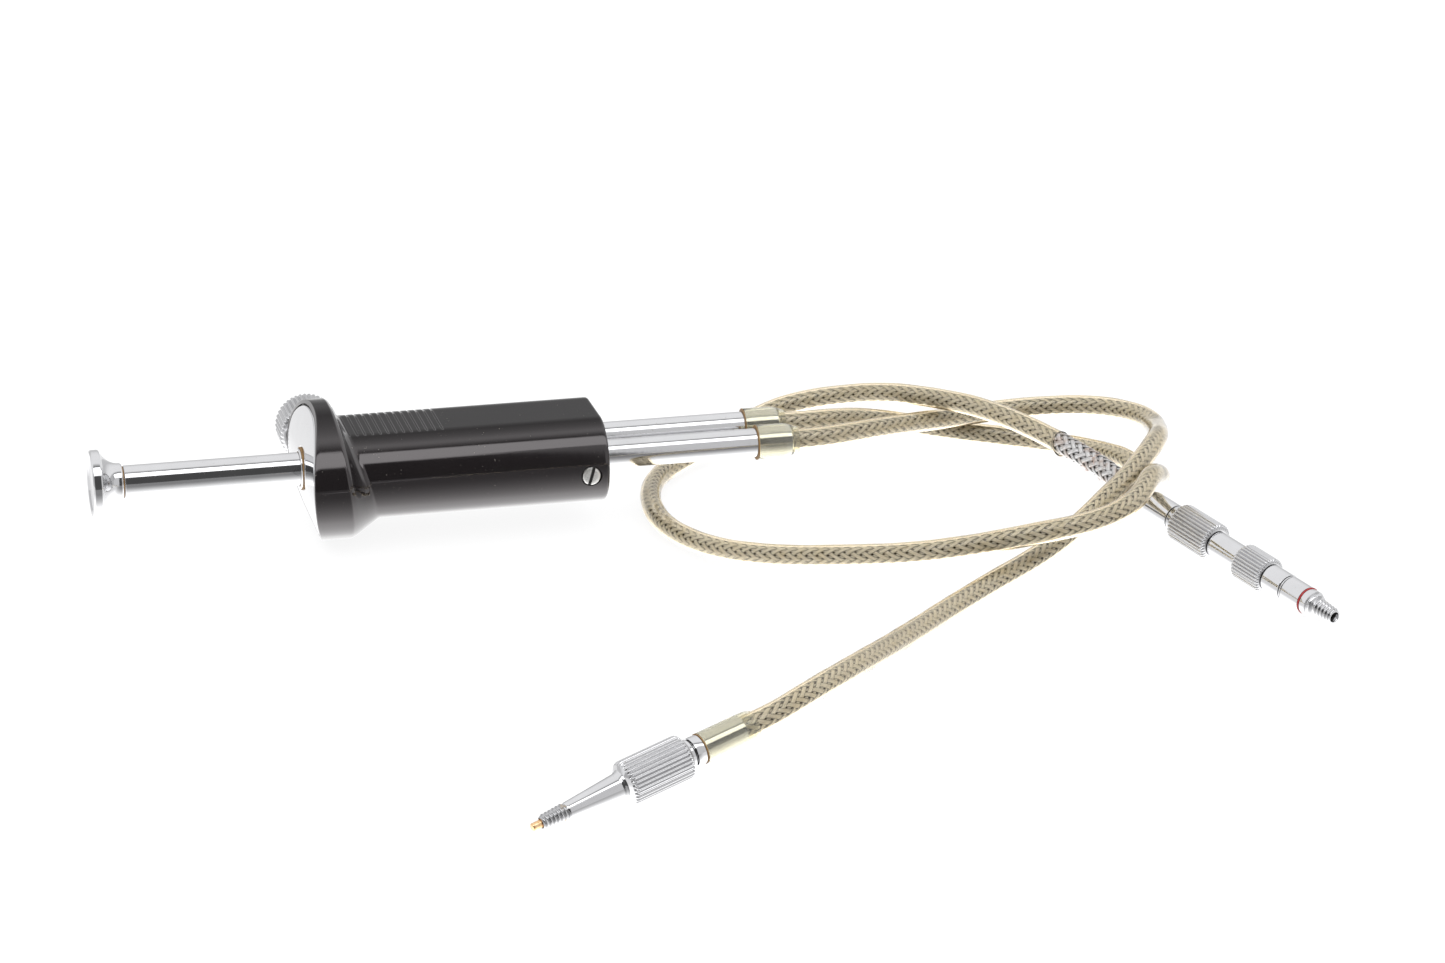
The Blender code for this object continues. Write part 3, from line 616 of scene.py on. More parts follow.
def handle_rings():
    """Rings of the handle from its front rim, back along the outside and in through the pocket."""
    keys = np.array([
        # x, lean, half_y, half_z, roundness
        (43.6, 0.06, FLANGE_Y, FLANGE_Z, FLANGE_ROUND),
        (45.2, 0.10, FLANGE_Y, FLANGE_Z, FLANGE_ROUND),
        (46.0, 0.12, 16.9, 12.0, 0.80), (47.2, 0.21, 15.4, 10.5, 0.58),
        (48.2, 0.28, 14.35, 9.35, 0.38), (49.0, 0.31, 13.6, 8.35, 0.10),
        (49.6, 0.31, BODY_Y, BODY_Z, 0.0), (REAR - 0.4, 0.0, BODY_Y, BODY_Z, 0.0),
    ])
    fine = np.arange(keys[0, 0], keys[-1, 0], 0.02)
    table = np.stack([smoothed(np.interp(fine, keys[:, 0], keys[:, k]), 7)
                      for k in range(1, 5)], -1)
    top_x = fine - table[:, 0] * table[:, 2]
    beside = np.array([0.065, 0.13, 0.2, 0.27, 0.34, 0.45, 0.62])
    across_groove = np.concatenate([-beside, [0.0], beside])
    groove_x = GROOVE_START + GROOVE_PITCH * np.arange(GROOVES)
    # Rings lie close behind the flange and across each groove, and further apart to the rear
    wanted = np.concatenate([np.arange(top_x[0] + 0.1, 46.4, 0.12),
                             (groove_x[:, None] + across_groove).ravel(),
                             np.arange(65.6, 93.9, 0.8)])

    flange = outline(FLANGE_Y, FLANGE_Z, FLANGE_ROUND)
    nose = front_x(flange[:, 1] - AXIS_DROP)
    back = keys[0, 0] - keys[0, 1] * flange[:, 1]
    rings = []
    for share, inset in ((0.0, 0.16), (0.012, 0.05), (0.04, 0.0), (0.2, 0.0), (0.4, 0.0),
                         (0.6, 0.0), (0.8, 0.0), (1.0, 0.0)):
        rings.append(lofted(nose + share * (back - nose), grown(flange, -inset)))
    for x_top in np.unique(np.round(wanted, 3)):
        i = int(np.argmin(np.abs(top_x - x_top)))
        lean, half_y, half_z, roundness = table[i]
        loop = outline(half_y, half_z, max(roundness, 0.0))
        rings.append(lofted(fine[i] - lean * loop[:, 1], loop))
    for x, inset in ((REAR - 0.45, 0.0), (REAR - 0.25, 0.05), (REAR - 0.1, 0.16), (REAR, 0.36)):
        rings.append(lofted(x, outline(BODY_Y - inset, BODY_Z - inset)))
    outer_count = len(rings)

    for x, flare in ((REAR, 0.15), (REAR - 0.15, 0.0), (72.0, 0.0), (POCKET_START, 0.0)):
        rings.append(lofted(x, outline(BODY_Y - WALL_Y + flare, BODY_Z - WALL_Z + flare)))
    for x, radius in ((POCKET_START, STEM_BORE_R), (41.8, STEM_BORE_R), (41.8, BUSH_BORE_R),
                      (39.6, BUSH_BORE_R)):
        rings.append(round_ring(x, radius, circle(OUTLINE)))
    recess = outline(FLANGE_Y - 0.8, FLANGE_Z - 0.8, FLANGE_ROUND)
    z = recess[:, 1] - AXIS_DROP
    rings += [lofted(front_x(z, FRONT_R - 1.0), recess), lofted(front_x(z) + 0.1, recess),
              lofted(front_x(z), grown(recess, 0.1))]

    rings = np.array(rings)
    outside = rings[:outer_count]
    x, y, up = outside[:, :, 0], outside[:, :, 1], outside[:, :, 2]
    ends = np.clip((y - GROOVE_NEAR) / 0.6, 0, 1) * np.clip((GROOVE_FAR - y) / 0.6, 0, 1)
    facing_up = np.clip(up - GROOVE_Z, 0, 1)
    depth = np.zeros_like(up)
    for middle in groove_x:
        away = np.abs(x - middle)
        depth += np.where(away < GROOVE_HALF, 0.5 + 0.5 * np.cos(np.pi * away / GROOVE_HALF), 0.0)
    outside[:, :, 2] -= GROOVE_DEPTH * depth * ends * facing_up
    return rings


def plate_rings():
    """Rings of the front plate: in from its rim to the bore over the front, out over the back."""
    count, rim, thick = 240, 0.14, 0.62
    edge = outline(FLANGE_Y - 1.1, FLANGE_Z - 1.1, FLANGE_ROUND, count)
    angle = circle(count)
    hole = BUSH_BORE_R * np.stack([np.cos(angle), np.sin(angle)], -1)
    stations = [(0, 0.0, thick), (0, 0.0, rim), (0, 0.05, 0.05), (0, rim, 0.0)]
    stations += [(share, rim, 0.0) for share in np.linspace(0.06, 0.96, 16)]
    stations += [(0.985, rim, 0.02), (1.0, rim, 0.12), (1.0, rim, thick)]
    stations += [(share, rim, thick) for share in (0.75, 0.5, 0.25)]
    rings = []
    for share, inset, depth in stations:
        outer = grown(edge, -inset) - np.array([0.0, AXIS_DROP])
        loop = (1 - share) * outer + share * hole
        rings.append(np.stack([front_x(loop[:, 1]) + depth, loop[:, 0], loop[:, 1]], -1))
    return rings


def build_handle():
    shell = skinned("handle_shell", handle_rings(), "black", closed=True, crease=50.0)
    carve(shell, [
        cutter_rod((SCREW_X, -12.4, SCREW_Z), (SCREW_X, -15, SCREW_Z), 2.0, 72),
        cutter_rod((SCREW_X, -10, SCREW_Z), (SCREW_X, -15, SCREW_Z), 1.3, 48),
        cutter_rod((LOCK_X, 4, 0), (LOCK_X, 24, 0), 2.9, 64),
    ], crease=50.0)
    finish_piece(shell, ROOT, "handle_body")
    plate = skinned("front_plate", plate_rings(), "chrome", closed=True, crease=50.0)
    finish_piece(plate, ROOT, "end_plate")
    piece("plunger_bushing", [
        (38.12, 3.3), (38.12, 3.62), (38.3, 3.75), (41.5, 3.75), (41.5, 3.3),
    ], "chrome", ROOT, "chrome", "plunger_bush")
    piece("bushing_stain", band(38.42, 39.1, 3.77, 4.03), "edge", ROOT, ease=0.03)
    piece("stem_seal", band(38.2, 39.2, 3.12, 3.28), "edge", ROOT, ease=0.02)


def turned_aside(x, z, degrees):
    """A place on the handle whose local X axis points to a side."""
    return (Matrix.Translation(Vector((x, 0, z)) * MM)
            @ Matrix.Rotation(math.radians(degrees), 4, "Z"))


def build_clamp():
    half_y, half_z = BODY_Y - WALL_Y - GAP, BODY_Z - WALL_Z - GAP
    rings = [lofted(x, outline(half_y - inset, half_z - inset, 0.0, 192))
             for x, inset in ((84.4, 0.15), (84.55, 0.0), (94.0, 0.0), (94.2, 0.2))]
    block = skinned("tube_clamp", rings, "black")
    cutters = [cutter_rod((SCREW_X, -8.9, SCREW_Z), (SCREW_X, -15, SCREW_Z), 1.3)]
    for lane in (LANE, -LANE):
        cutters += [cutter_rod((85.7, lane, 0), (96.5, lane, 0), 3.0, 96),
                    cutter_rod((80, lane, 0), (90, lane, 0), 1.2, 48)]
    carve(block, cutters)
    finish_piece(block, ROOT, "clamp_block")

    place = turned_aside(SCREW_X, SCREW_Z, -90)
    slot_place = place @ Matrix.Rotation(math.radians(-16), 4, "X")
    screw = turned("slotted_screw", [
        (9.3, 0.3), (9.3, 0.9), (9.5, 1.0), (12.55, 1.0), (12.55, 1.7), (12.95, 1.75),
        (13.12, 1.6), (13.2, 1.1), (13.22, 0.3),
    ], "screw", closed=False, sides=72, place=place)
    slot = dark_box("cutter", (12.64, -0.3, -2.5), (14.0, 0.3, 2.5))
    slot.matrix_world = slot_place
    bpy.context.view_layer.update()
    carve(screw, [slot])
    finish_piece(screw, ROOT, "clamp_screw")
    # A near-black box at the bottom of the slot: painted shade in the slot.
    slot_shade = dark_box("screw_slot_painted_shade", (12.66, -0.27, -1.6), (12.92, 0.27, 1.6))
    slot_shade.matrix_world = slot_place
    finish_piece(slot_shade, ROOT)


def build_lock():
    aside = partial(piece, place=turned_aside(LOCK_X, 0, 90))
    aside("lock_thumbwheel", [
        (19.4, 1.8), (19.4, 4.8), (19.55, 5.2), (19.8, 5.6, 0.1), (20.1, 5.84, 0.24),
        (20.4, 5.9, 0.34), (26.6, 5.9, 0.34), (26.95, 5.82, 0.24), (27.2, 5.6, 0.1),
        (27.4, 5.2), (27.5, 4.8), (27.5, 1.0), (24.5, 1.0), (24.5, 1.8),
    ], "knurl", "lock_knob", "chrome", "lock_knob", flutes=40)
    aside("lock_spindle", [(4.5, 1.2), (4.8, 1.5), (24.0, 1.5), (24.2, 1.3)],
          "steel", "lock_knob", "steel", "lock_screw", closed=False, sides=48, ease=0.07)
    aside("threaded_insert", band(11.5, 17.0, 1.8, 2.6), "brass", ROOT, "brass", "lock_insert",
          sides=48, ease=0.07)


# ---- tubes and cables

JACKET_OUT, JACKET_IN = 2.0, 1.75
BARE_LENGTH = 33.9         # bare stretch of cable A, with its end inside the ferrule
STRANDS = 8                # strands each way round
LEAD = 17.2                # length of one full turn of a strand
WEAVE_R, WEAVE_SWING = 1.40, 0.115
FLATNESS = 2.2             # how abruptly a strand changes from over to under
STRAND_HALF = 0.375
BRAID_START, BRAID_SHORT = 0.2, 0.1       # the braid's distance from each end of its cable
CABLE_START, SLEEVE_END = 131.6, 132.5
FINE_STEP = 0.36

PATH_A = [
    (146.5, 8.0, -1.1), (166.6, 14.7, -6.9), (178.5, 13.4, -9.0), (188.5, 6.1, -9.0),
    (193.7, -6.0, -7.2), (195.0, -17.6, -5.6), (195.9, -23.1, -5.9), (186.6, -51.5, 2.8),
    (184.5, -55.0, 2.5), (181.2, -59.2, 1.9), (173.2, -64.8, 1.1), (161.1, -67.1, 0.2),
    (142.3, -61.8, -3.5), (130.2, -54.0, -6.0), (120.1, -45.4, -8.2), (110.1, -33.1, -10.1),
    (104.5, -18.8, -10.7), (104.8, -1.6, -10.8), (110.4, 13.0, -11.1), (122.1, 23.8, -9.8),
    (136.6, 27.7, -4.7), (148.0, 24.1, -1.7), (155.4, 18.7, 0.0), (163.2, 10.4, 1.1),
    (170.4, 0.9, 1.4), (176.4, -8.9, 0.6), (181.0, -18.5, -0.5), (186.2, -32.4, -2.3),
]
PATH_B = [
    (150.5, 0.9, -1.0), (167.5, 11.0, -3.6), (178.7, 14.4, -4.0), (188.8, 14.1, -3.8),
    (197.6, 9.4, -3.1), (203.0, -1.9, -2.1), (201.5, -13.1, -0.8), (196.6, -26.6, 1.7),
    (186.8, -41.0, 0.7), (177.5, -50.4, -1.8), (167.8, -58.2, -4.9), (153.2, -69.0, -7.0),
    (126.1, -99.2, -5.0), (100.8, -128.7, -1.9),
]
# Each tip's base, its yaw and dip in degrees, and how far its cable reaches into it
TIP_B = ((91.1, -134.1, -3.6), -161.3, 11.7)
TIP_A = ((190.2, -45.4, -4.4), -67.7, 8.5)
INSIDE_A, INSIDE_B = 4.8, 9.0


def tip_direction(yaw, dip):
    yaw, dip = math.radians(yaw), math.radians(dip)
    return np.array([math.cos(dip) * math.cos(yaw), math.cos(dip) * math.sin(yaw),
                     -math.sin(dip)])


def tip_place(base, yaw, dip):
    turn = Matrix.Rotation(math.radians(yaw), 4, "Z") @ Matrix.Rotation(math.radians(dip), 4, "Y")
    return Matrix.Translation(Vector(base) * MM) @ turn


def spline(waypoints, start_dir, end_dir):
    """Dense points on the smooth curve through the waypoints."""
    knots = np.array(waypoints, float)
    chord = np.linalg.norm(np.diff(knots, axis=0), axis=1)
    size = len(knots)
    matrix, right = np.zeros((size, size)), np.zeros((size, 3))
    matrix[0, 0] = matrix[-1, -1] = 1.0
    right[0], right[-1] = start_dir, end_dir
    for i in range(1, size - 1):
        before, after = chord[i - 1], chord[i]
        matrix[i, i - 1:i + 2] = (1 / before, 2 / before + 2 / after, 1 / after)
        right[i] = 3 * ((knots[i] - knots[i - 1]) / before ** 2
                        + (knots[i + 1] - knots[i]) / after ** 2)
    slope = np.linalg.solve(matrix, right)
    fine = []
    for i, span in enumerate(chord):
        for u in np.linspace(0.0, 1.0, 60, endpoint=False):
            fine.append((1 + 2 * u) * (1 - u) ** 2 * knots[i]
                        + u * (1 - u) ** 2 * span * slope[i]
                        + u * u * (3 - 2 * u) * knots[i + 1]
                        + u * u * (u - 1) * span * slope[i + 1])
    fine.append(knots[-1])
    return np.array(fine)


class Cable:
    """Centre line of a cable with two carried-along side vectors, looked up by distance."""

    def __init__(self, lane, waypoints, tip, inside):
        base, yaw, dip = tip
        nose = tip_direction(yaw, dip)
        base = np.array(base)
        straight_start, straight_end = 1.0, 1.5
        curve = spline([(SLEEVE_END + straight_start, lane, 0.0), *waypoints,
                        base - straight_end * nose], (1, 0, 0), nose)
        line = np.vstack([(CABLE_START, lane, 0.0), curve, base + inside * nose])
        walked = np.concatenate([[0], np.cumsum(np.linalg.norm(np.diff(line, axis=0), axis=1))])
        self.length = walked[-1]
        self.stops = np.linspace(0, self.length, int(self.length / FINE_STEP) + 1)
        self.line = np.stack([np.interp(self.stops, walked, line[:, k]) for k in range(3)], -1)
        tangent = unit(np.gradient(self.line, axis=0))
        side = np.cross(tangent[0], (0.0, 0.0, 1.0))
        sides = []
        for t in tangent:
            side = side - side.dot(t) * t
            side /= np.linalg.norm(side)
            sides.append(side)
        self.side = np.array(sides)
        self.up = np.cross(tangent, self.side)

    def look_up(self, where, table):
        where = np.clip(where, 0, self.length)
        return np.stack([np.interp(where, self.stops, table[:, k]) for k in range(3)], -1)

    def point(self, where, angle, radius):
        """Points at a distance along, an angle round and a radius out from the centre line."""
        where, angle, radius = np.broadcast_arrays(where, angle, radius)
        out = (np.cos(angle)[..., None] * self.look_up(where, self.side)
               + np.sin(angle)[..., None] * self.look_up(where, self.up))
        return self.look_up(where, self.line) + radius[..., None] * out

    def tube(self, name, outer, inner, sides, step, look):
        """A tube, or a rod where inner is 0, along the whole cable."""
        stops = np.linspace(0, self.length, int(self.length / step) + 2)[:, None]
        angle = circle(sides)[None, :]
        uneven = wander(stops, angle) if inner else 0.0
        rings = self.point(stops, angle, outer + uneven)
        if inner:
            back = self.point(stops[::-1], angle, inner + 0.5 * uneven[::-1])
            rings = np.concatenate([rings, back])
        return skinned(name, rings, look, closed=bool(inner), crease=60.0)


def wander(stops, angle):
    """The slight unevenness of a tube's wall."""
    return 0.018 * np.sin(stops / 2.9 + 2 * angle) + 0.012 * np.sin(stops / 1.3 + 1.0)


SECTION = np.array([  # across (-1 to 1) and height of one strand's outline
    (-1.0, -0.02), (-0.72, 0.055), (-0.3, 0.085), (0.0, 0.09), (0.3, 0.085), (0.72, 0.055),
    (1.0, -0.02), (0.5, -0.055), (-0.5, -0.055),
])


def weave(name, cable, start, end, look, loose=0.0, spread=1.0):
    """A herringbone braid: each strand passes over two strands and then under two."""
    tilt = math.atan(2 * math.pi * WEAVE_R / LEAD)
    half_gap = 0.5 * 2 * np.pi / (2 * STRANDS)
    stops = np.arange(start, end, FINE_STEP)
    generator = np.random.default_rng(7)
    strands, strand_uv = [], []
    for way in (1, -1):
        for strand in range(STRANDS):
            centre = way * 2 * np.pi * stops / LEAD + 2 * np.pi * strand / STRANDS
            over = np.cos(STRANDS // 2 * (centre - half_gap))
            swing = np.tanh(FLATNESS * over) / np.tanh(FLATNESS)
            slack = loose * (generator.random() - 0.3) * (
                np.sin(stops / (3.1 + generator.random()) + 6 * generator.random()) + 0.4)
            radius = WEAVE_R * spread + way * WEAVE_SWING * swing + slack
            half = STRAND_HALF * (1 + 0.05 * np.sin(stops / 2.3 + strand))
            across = half[:, None] * SECTION[:, 0]
            angle = centre[:, None] + across * math.cos(tilt) / WEAVE_R
            where = np.clip(stops[:, None] - way * across * math.sin(tilt), start, end)
            strands.append(cable.point(where, angle, radius[:, None] + SECTION[:, 1]))
            u = 0.5 + 0.5 * SECTION[:, 0] + 0 * across
            v = stops[:, None] + 3.7 * strand + 31.0 * way + 0 * across
            strand_uv.append(np.stack([u, v], -1).reshape(-1, 2))
    made = bundle(name, strands, look)
    corners = np.zeros(len(made.data.loops), np.int32)
    made.data.loops.foreach_get("vertex_index", corners)
    layer = made.data.uv_layers.new(name="strand")
    layer.data.foreach_set("uv", np.concatenate(strand_uv)[corners].astype(np.float32).ravel())
    return made


def jacket_a_cut(cable, end):
    """Clear jacket of cable A with a slightly flared, slanting cut at its free end."""
    stops = np.append(np.arange(0, end - 3, 0.8), np.linspace(end - 3, end, 16))[:, None]
    angle = circle(48)[None, :]
    near_end = np.clip((stops - (end - 2.6)) / 2.6, 0, 1)
    where = stops + 0.75 * near_end * np.cos(angle - 1.2)
    flare = 0.26 * near_end ** 2.2 + 0.10 * near_end ** 2 * np.cos(angle - 0.7)
    uneven = wander(stops, angle)
    outer = cable.point(where, angle, JACKET_OUT + uneven + flare)
    inner = cable.point(where[::-1], angle, (JACKET_IN + 0.5 * uneven + flare)[::-1])
    return skinned("jacket_a_tube", np.concatenate([outer, inner]), "jacket", closed=True,
                   crease=60.0)


def loose_wires(cable, where):
    """A few broken wires that stand out from the bare braid."""
    count, braid_r, wire_r = 14, 1.86, 0.05
    generator = np.random.default_rng(11)
    share = np.linspace(0, 1, 9)
    made = []
    for _ in range(count):
        at = where + generator.uniform(-2.6, 2.6)
        round_to = generator.uniform(-2.4, 2.6)
        lean = generator.uniform(-1.0, 1.0)
        length = generator.uniform(1.0, 2.8)
        path = cable.point(at + length * share * 0.8, round_to + lean * share,
                           braid_r + generator.uniform(0.2, 0.75) * share ** 1.6)
        tangent = unit(np.gradient(path, axis=0))
        side = unit(np.cross(tangent, (0.3, 0.2, 0.9)))
        made.append(rod_rings(path, side, np.cross(tangent, side), wire_r, 5))
    return made


def build_cables():
    cable_a = Cable(LANE, PATH_A, TIP_A, INSIDE_A)
    cable_b = Cable(-LANE, PATH_B, TIP_B, INSIDE_B)
    for side, lane, cable in (("a", LANE, cable_a), ("b", -LANE, cable_b)):
        in_lane = partial(piece, shift=lane)
        in_lane("guide_pipe_" + side, [
            (86.0, 2.15), (86.0, 2.75), (100.0, 2.75), (115.0, 2.75), (131.0, 2.75),
            (131.0, 2.15),
        ], "chrome", ROOT, "chrome", "guide_tube_" + side, ease=0.06)
        in_lane("shrink_sleeve_" + side, [
            (124.5, 3.28), (126.5, 3.30), (129.4, 3.28), (130.3, 3.16), (131.2, 2.92),
            (132.0, 2.66), (132.5, 2.46), (132.5, 2.16), (131.9, 2.3), (131.3, 2.5),
            (130.9, 2.9), (130.0, 3.0), (124.5, 3.0),
        ], "sleeve", ROOT, "sleeve", "end_sleeve_" + side, ease=0.12, crease=60.0)
        in_lane("sleeve_edge_" + side, [
            (124.30, 2.78), (124.30, 3.22), (124.36, 3.32), (124.47, 3.32), (124.47, 2.78),
        ], "edge", ROOT, ease=0.03)
        finish_piece(cable.tube("coil_sheath_" + side, 0.92, 0.6, 16, 1.2, "sheath"),
                     ROOT, "sheath_" + side)
        finish_piece(cable.tube("core_" + side, 0.3, 0.0, 10, 1.5, "steel"),
                     ROOT, "core_wire_" + side)

    cut = cable_a.length - BARE_LENGTH
    bare_start = cut - 0.9     # just inside the jacket
    finish_piece(weave("braid_a_weave", cable_a, BRAID_START, bare_start, "braid"),
                 ROOT, "braid_a")
    finish_piece(weave("braid_a_bare", cable_a, bare_start, cable_a.length - BRAID_SHORT, "bare",
                       loose=0.07, spread=1.30), ROOT)
    finish_piece(jacket_a_cut(cable_a, cut), ROOT, "jacket_a")
    finish_piece(weave("braid_b_weave", cable_b, BRAID_START, cable_b.length - BRAID_SHORT,
                       "braid"), ROOT, "braid_b")
    finish_piece(cable_b.tube("jacket_b_tube", JACKET_OUT, JACKET_IN, 48, 0.8, "jacket"),
                 ROOT, "jacket_b")
    finish_piece(bundle("frayed_wires", loose_wires(cable_a, cut + 9.5), "copper"), ROOT)


# ---- tips

def build_tip_b():
    place = tip_place(*TIP_B)
    on_tip = partial(piece, place=place)
    on_tip("tip_b_boot", [
        (-0.6, 2.28), (-0.45, 2.36), (-0.1, 2.46), (0.6, 2.56), (1.6, 2.60), (9.6, 2.60),
        (9.6, 2.3), (0.4, 2.3), (-0.3, 2.2),
    ], "sleeve", ROOT, "sleeve", "tip_b_sleeve", ease=0.12, crease=60.0)
    on_tip("tip_b_liner", band(1.8, 9.6, 2.13, 2.27), "chrome", ROOT, ease=0.04)
    on_tip("tip_b_boot_edge", [
        (9.62, 2.1), (9.62, 2.58), (9.70, 2.62), (9.82, 2.60), (9.82, 2.1),
    ], "edge", ROOT, ease=0.03)
    on_tip("tip_b_collar_ring", [
        (9.9, 1.8), (9.9, 2.5), (11.5, 2.5), (11.5, 2.12), (11.62, 2.12), (11.62, 1.8),
    ], "chrome", ROOT, "chrome", "tip_b_ferrule", ease=0.06)
    # A near-black ring in the gap between the collar ring and the grip: painted shade.
    on_tip("tip_b_gap", band(11.64, 11.83, 1.7, 2.3), "gap", "tip_b_head", ease=0.02)
    on_tip("tip_b_grip", [
        (11.85, 1.0), (11.85, 2.45), (12.0, 2.55), (12.4, 2.56), (12.65, 2.75), (12.9, 3.3),
        (13.2, 3.74, 0.08), (13.5, 3.8, 0.34), (23.7, 3.8, 0.34), (24.1, 3.7, 0.2),
        (24.45, 3.35, 0.0), (24.9, 2.75), (24.9, 1.0),
    ], "chrome", "tip_b_head", "chrome", "tip_b_head", flutes=32,
        second=("knurl", 12.8, 24.3))
    on_tip("tip_b_cone", [
        (24.91, 0.95), (24.91, 2.74), (25.3, 2.42), (25.6, 2.32), (30.0, 1.93), (35.1, 1.49),
        (35.35, 1.42), (35.45, 1.2), (35.45, 0.95),
    ], "chrome", "tip_b_head", "chrome")
    finish_piece(threaded("tip_b_thread", 35.35, 39.95, 1.32, 1.02, 0.27, 0.68,
                          "thread", 0.9, place), "tip_b_head")
    on_tip("tip_b_plunger_pin", [
        (17.5, 0.5), (17.6, 0.65), (30.0, 0.65), (41.45, 0.65), (41.62, 0.6), (41.7, 0.48),
    ], "brass", "tip_b_pin", "brass", "pin_b", closed=False, sides=48, ease=0.04)


def build_tip_a():
    place = tip_place(*TIP_A)
    on_tip = partial(piece, place=place)
    on_tip("tip_a_crimp", [
        (-1.0, 1.78), (-1.0, 2.25), (-0.8, 2.42), (-0.4, 2.5), (2.5, 2.5), (5.66, 2.5),
        (5.66, 1.78),
    ], "chrome", ROOT, "chrome", "tip_a_ferrule", ease=0.06)
    # Near-black rings in the gaps between the parts: painted shade.
    for index, (start, end, radius) in enumerate((
            (5.68, 5.82, 2.36), (17.28, 17.42, 2.40), (24.68, 24.82, 2.25),
            (31.92, 32.04, 2.42), (36.62, 36.73, 2.36), (37.07, 37.18, 2.36))):
        on_tip("tip_a_gap_%d" % index, band(start, end, 1.2, radius), "gap", "tip_a_head",
               ease=0.02)
    on_tip("tip_a_knurled_grip", [
        (5.84, 1.1), (5.84, 2.42), (5.95, 2.5), (6.9, 2.54), (7.3, 2.62), (7.42, 2.75),
        (7.5, 3.36, 0.12), (7.64, 3.54, 0.26), (7.85, 3.6, 0.34), (16.70, 3.6, 0.34),
        (17.0, 3.38, 0.22), (17.22, 2.80, 0.0), (17.26, 2.6), (17.26, 1.1),
    ], "knurl", "tip_a_head", "chrome", "tip_a_grip", flutes=32)
    on_tip("tip_a_tube", [
        (17.44, 1.1), (17.44, 2.45), (21.0, 2.45), (24.66, 2.45), (24.66, 1.9), (32.2, 1.9),
        (32.2, 1.1),
    ], "chrome", "tip_a_head", "chrome", "tip_a_barrel", ease=0.06)
    on_tip("tip_a_collar", [
        (24.84, 2.28), (24.84, 3.1, 0.06), (25.0, 3.32, 0.2), (25.2, 3.4, 0.34),
        (31.4, 3.4, 0.34), (31.68, 3.20, 0.2), (31.87, 2.75, 0.0), (31.9, 2.6), (31.9, 2.28),
    ], "knurl", "tip_a_lock_ring", "chrome", "tip_a_lock_ring", flutes=32)
    on_tip("tip_a_nosepiece", [
        (32.22, 1.92), (32.08, 2.1), (32.08, 2.5), (32.2, 2.55), (36.5, 2.55), (36.6, 2.5),
        (36.6, 2.2), (36.75, 2.2), (36.75, 2.42), (37.05, 2.42), (37.05, 2.2),
        (37.2, 2.2), (37.2, 2.46), (37.3, 2.5), (41.7, 2.5), (41.75, 2.1), (42.12, 2.1),
        (42.15, 2.42), (43.5, 2.42), (43.6, 2.1), (43.85, 2.1), (44.0, 2.2), (44.3, 2.05),
        (44.6, 1.5), (44.6, 0.95), (32.5, 0.95), (32.5, 1.92),
    ], "chrome", "tip_a_head", "chrome", "tip_a_nose")
    on_tip("tip_a_bore_shade", band(44.8, 48.3, 0.70, 0.94), "gap", "tip_a_head", ease=0.02)
    on_tip("tip_a_red_band", [
        (41.77, 2.16), (41.77, 2.47), (41.84, 2.53), (42.03, 2.53), (42.1, 2.47), (42.1, 2.16),
    ], "red", "tip_a_head", "red_enamel", "red_ring", ease=0.04)
    finish_piece(threaded("tip_a_thread", 44.5, 48.9, 1.50, 1.20, 0.26, 0.80,
                          "thread_clean", 0.97, place), "tip_a_head")
    on_tip("tip_a_plunger_pin", [
        (24.0, 0.5), (24.1, 0.65), (46.9, 0.65), (47.1, 0.6), (47.2, 0.48),
    ], "brass", "tip_a_pin", "brass", "pin_a", closed=False, sides=48, ease=0.04)


# ---- stage

CAMERA_PLACE, CAMERA_DEGREES = (-0.0728, -0.7876, 0.2700), (71.0, 0.0, -13.7)   # metres
LENS = 112.1
TABLE_HALF, TABLE_GAP = 6.0, 0.00005      # metres
TABLE_GLOW = 0.89          # what all but polished metal gets from the table
SOFTBOX, FRONT_WALL = 2.6, 0.09           # strengths of the lamp overhead and of the dark front
EVEN_LIGHT, WHITE_SEEN = 1.75, 1.05       # strengths for matt surfaces and for the camera


def sheet(name, corners, look):
    mesh = bpy.data.meshes.new(name)
    mesh.from_pydata(corners, [], [(0, 1, 2, 3)])
    mesh.materials.append(look)
    return linked(name, mesh)


def build_card(floor_z):
    """A pale card at the front right that only polished metal sees."""
    left, right, near, top = 0.205, 0.9, -0.5, 0.60      # metres
    made, tree, shader, coords = start_look("card_white")
    set_inputs(tree, shader, {
        "Base Color": (0.0, 0.0, 0.0, 1.0), "Roughness": 1.0,
        "Emission Color": (0.99, 0.99, 1.0, 1.0),
        "Emission Strength": fade(tree, noise(tree, coords, 4.0, 2.0), 0.3, 0.7, 0.76, 0.80),
    })
    card = sheet("side_card", [(left, near, floor_z), (right, near, floor_z),
                               (right, near, top), (left, near, top)], made)
    card.visible_camera = card.visible_diffuse = card.visible_shadow = False
    card.visible_transmission = False


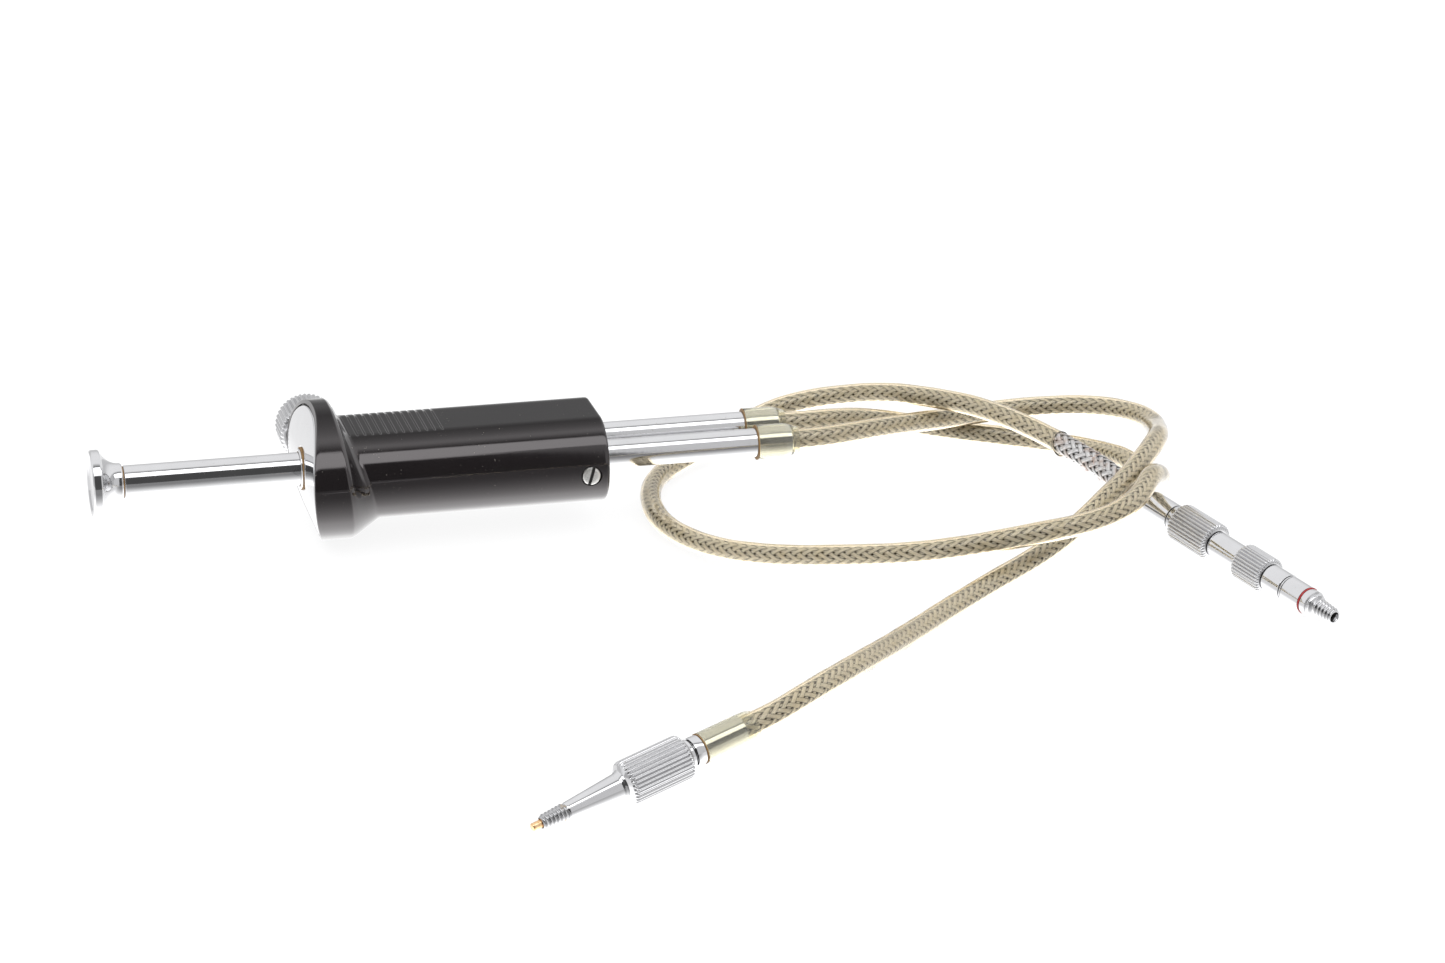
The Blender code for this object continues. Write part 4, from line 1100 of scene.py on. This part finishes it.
def build_table(floor_z):
    """White table. Polished metal sees it bright underneath and dark towards the camera."""
    made, tree, shader, coords = start_look("white_table")
    facing = xyz(tree, node(tree, "NewGeometry").outputs["Incoming"])
    mirrored = maths(tree, "MINIMUM", fade(tree, facing[1], 0.95, 0.10, 0.09, 2.3),
                     fade(tree, facing[2], 0.28, 0.75, 0.82, 2.3))
    polished = node(tree, "LightPath").outputs["Is Glossy Ray"]
    glow = add(tree, times(tree, polished, mirrored),
               times(tree, maths(tree, "SUBTRACT", 1.0, polished), TABLE_GLOW))
    set_inputs(tree, shader, {
        "Base Color": mix(tree, noise(tree, coords, 6.0, 2.0),
                          (0.12, 0.12, 0.122), (0.14, 0.14, 0.142)),
        "Roughness": 0.9, "Specular IOR Level": 0.0,
        "Emission Color": (1.0, 1.0, 1.0, 1.0), "Emission Strength": glow,
    })
    table = sheet("table_top", [(x * TABLE_HALF, y * TABLE_HALF, floor_z)
                                for x, y in ((-1, -1), (1, -1), (1, 1), (-1, 1))], made)


def build_world():
    """Plain studio: a lamp overhead, bright behind and at the sides, dark in front."""
    world = bpy.data.worlds.new("studio")
    bpy.context.scene.world = world
    world.use_nodes = True
    tree = world.node_tree
    tree.nodes.clear()
    x, y, z = xyz(tree, node(tree, "TexCoord").outputs["Generated"])
    height = maths(tree, "MAXIMUM", z, 0.001)
    over_y = maths(tree, "DIVIDE", y, height)
    over_x = maths(tree, "DIVIDE", x, height)
    inside_y = times(tree, fade(tree, over_y, -0.98, -0.86), fade(tree, over_y, -0.22, -0.28))
    inside_x = times(tree, fade(tree, over_x, -1.3, -1.2), fade(tree, over_x, 1.3, 1.2))
    softbox = times(tree, times(tree, inside_y, inside_x), fade(tree, z, 0.02, 0.05))
    back = times(tree, fade(tree, over_y, -0.26, 0.04), fade(tree, over_y, 0.9, 3.2, 1.15, 0.75))
    sides = fade(tree, maths(tree, "ABSOLUTE", x), 0.55, 0.85, 0.0, 0.62)
    level = maths(tree, "MAXIMUM", maths(tree, "MAXIMUM", back, FRONT_WALL), sides)
    level = add(tree, level, times(tree, softbox, SOFTBOX))

    def background(colour, strength):
        made = node(tree, "Background", {"Color": (*colour, 1.0), "Strength": strength})
        return made.outputs[0]

    rays = node(tree, "LightPath").outputs
    diffuse = node(tree, "MixShader", {
        0: rays["Is Diffuse Ray"], 1: background((0.99, 0.993, 1.0), level),
        2: background((1.0, 1.0, 1.0), EVEN_LIGHT)}).outputs[0]
    final = node(tree, "MixShader", {
        0: rays["Is Camera Ray"], 1: diffuse,
        2: background((1.0, 1.0, 1.0), WHITE_SEEN)}).outputs[0]
    node(tree, "OutputWorld", {"Surface": final})


def build_camera():
    camera = bpy.data.cameras.new("camera")
    camera.lens, camera.sensor_width = LENS, 36.0
    camera.clip_start, camera.clip_end = 0.05, 20.0
    holder = linked("camera", camera)
    holder.location = CAMERA_PLACE
    holder.rotation_euler = [math.radians(degrees) for degrees in CAMERA_DEGREES]
    bpy.context.scene.camera = holder
    bpy.context.scene.view_settings.view_transform = "Standard"


build_plunger()
build_spring()
build_handle()
build_clamp()
build_lock()
build_cables()
build_tip_b()
build_tip_a()

for name, look in (("crosshead", "steel"), ("crosshead_nut", "steel"), ("push_rod_a", "steel"),
                   ("push_rod_b", "steel"), ("lock_pad", "fibre")):
    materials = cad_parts[name].data.materials
    materials.clear()
    materials.append(looks[look])

floor_z = min(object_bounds()[0][2], cad_box[0][2]) - TABLE_GAP
build_table(floor_z)
build_world()
build_card(floor_z)
build_camera()
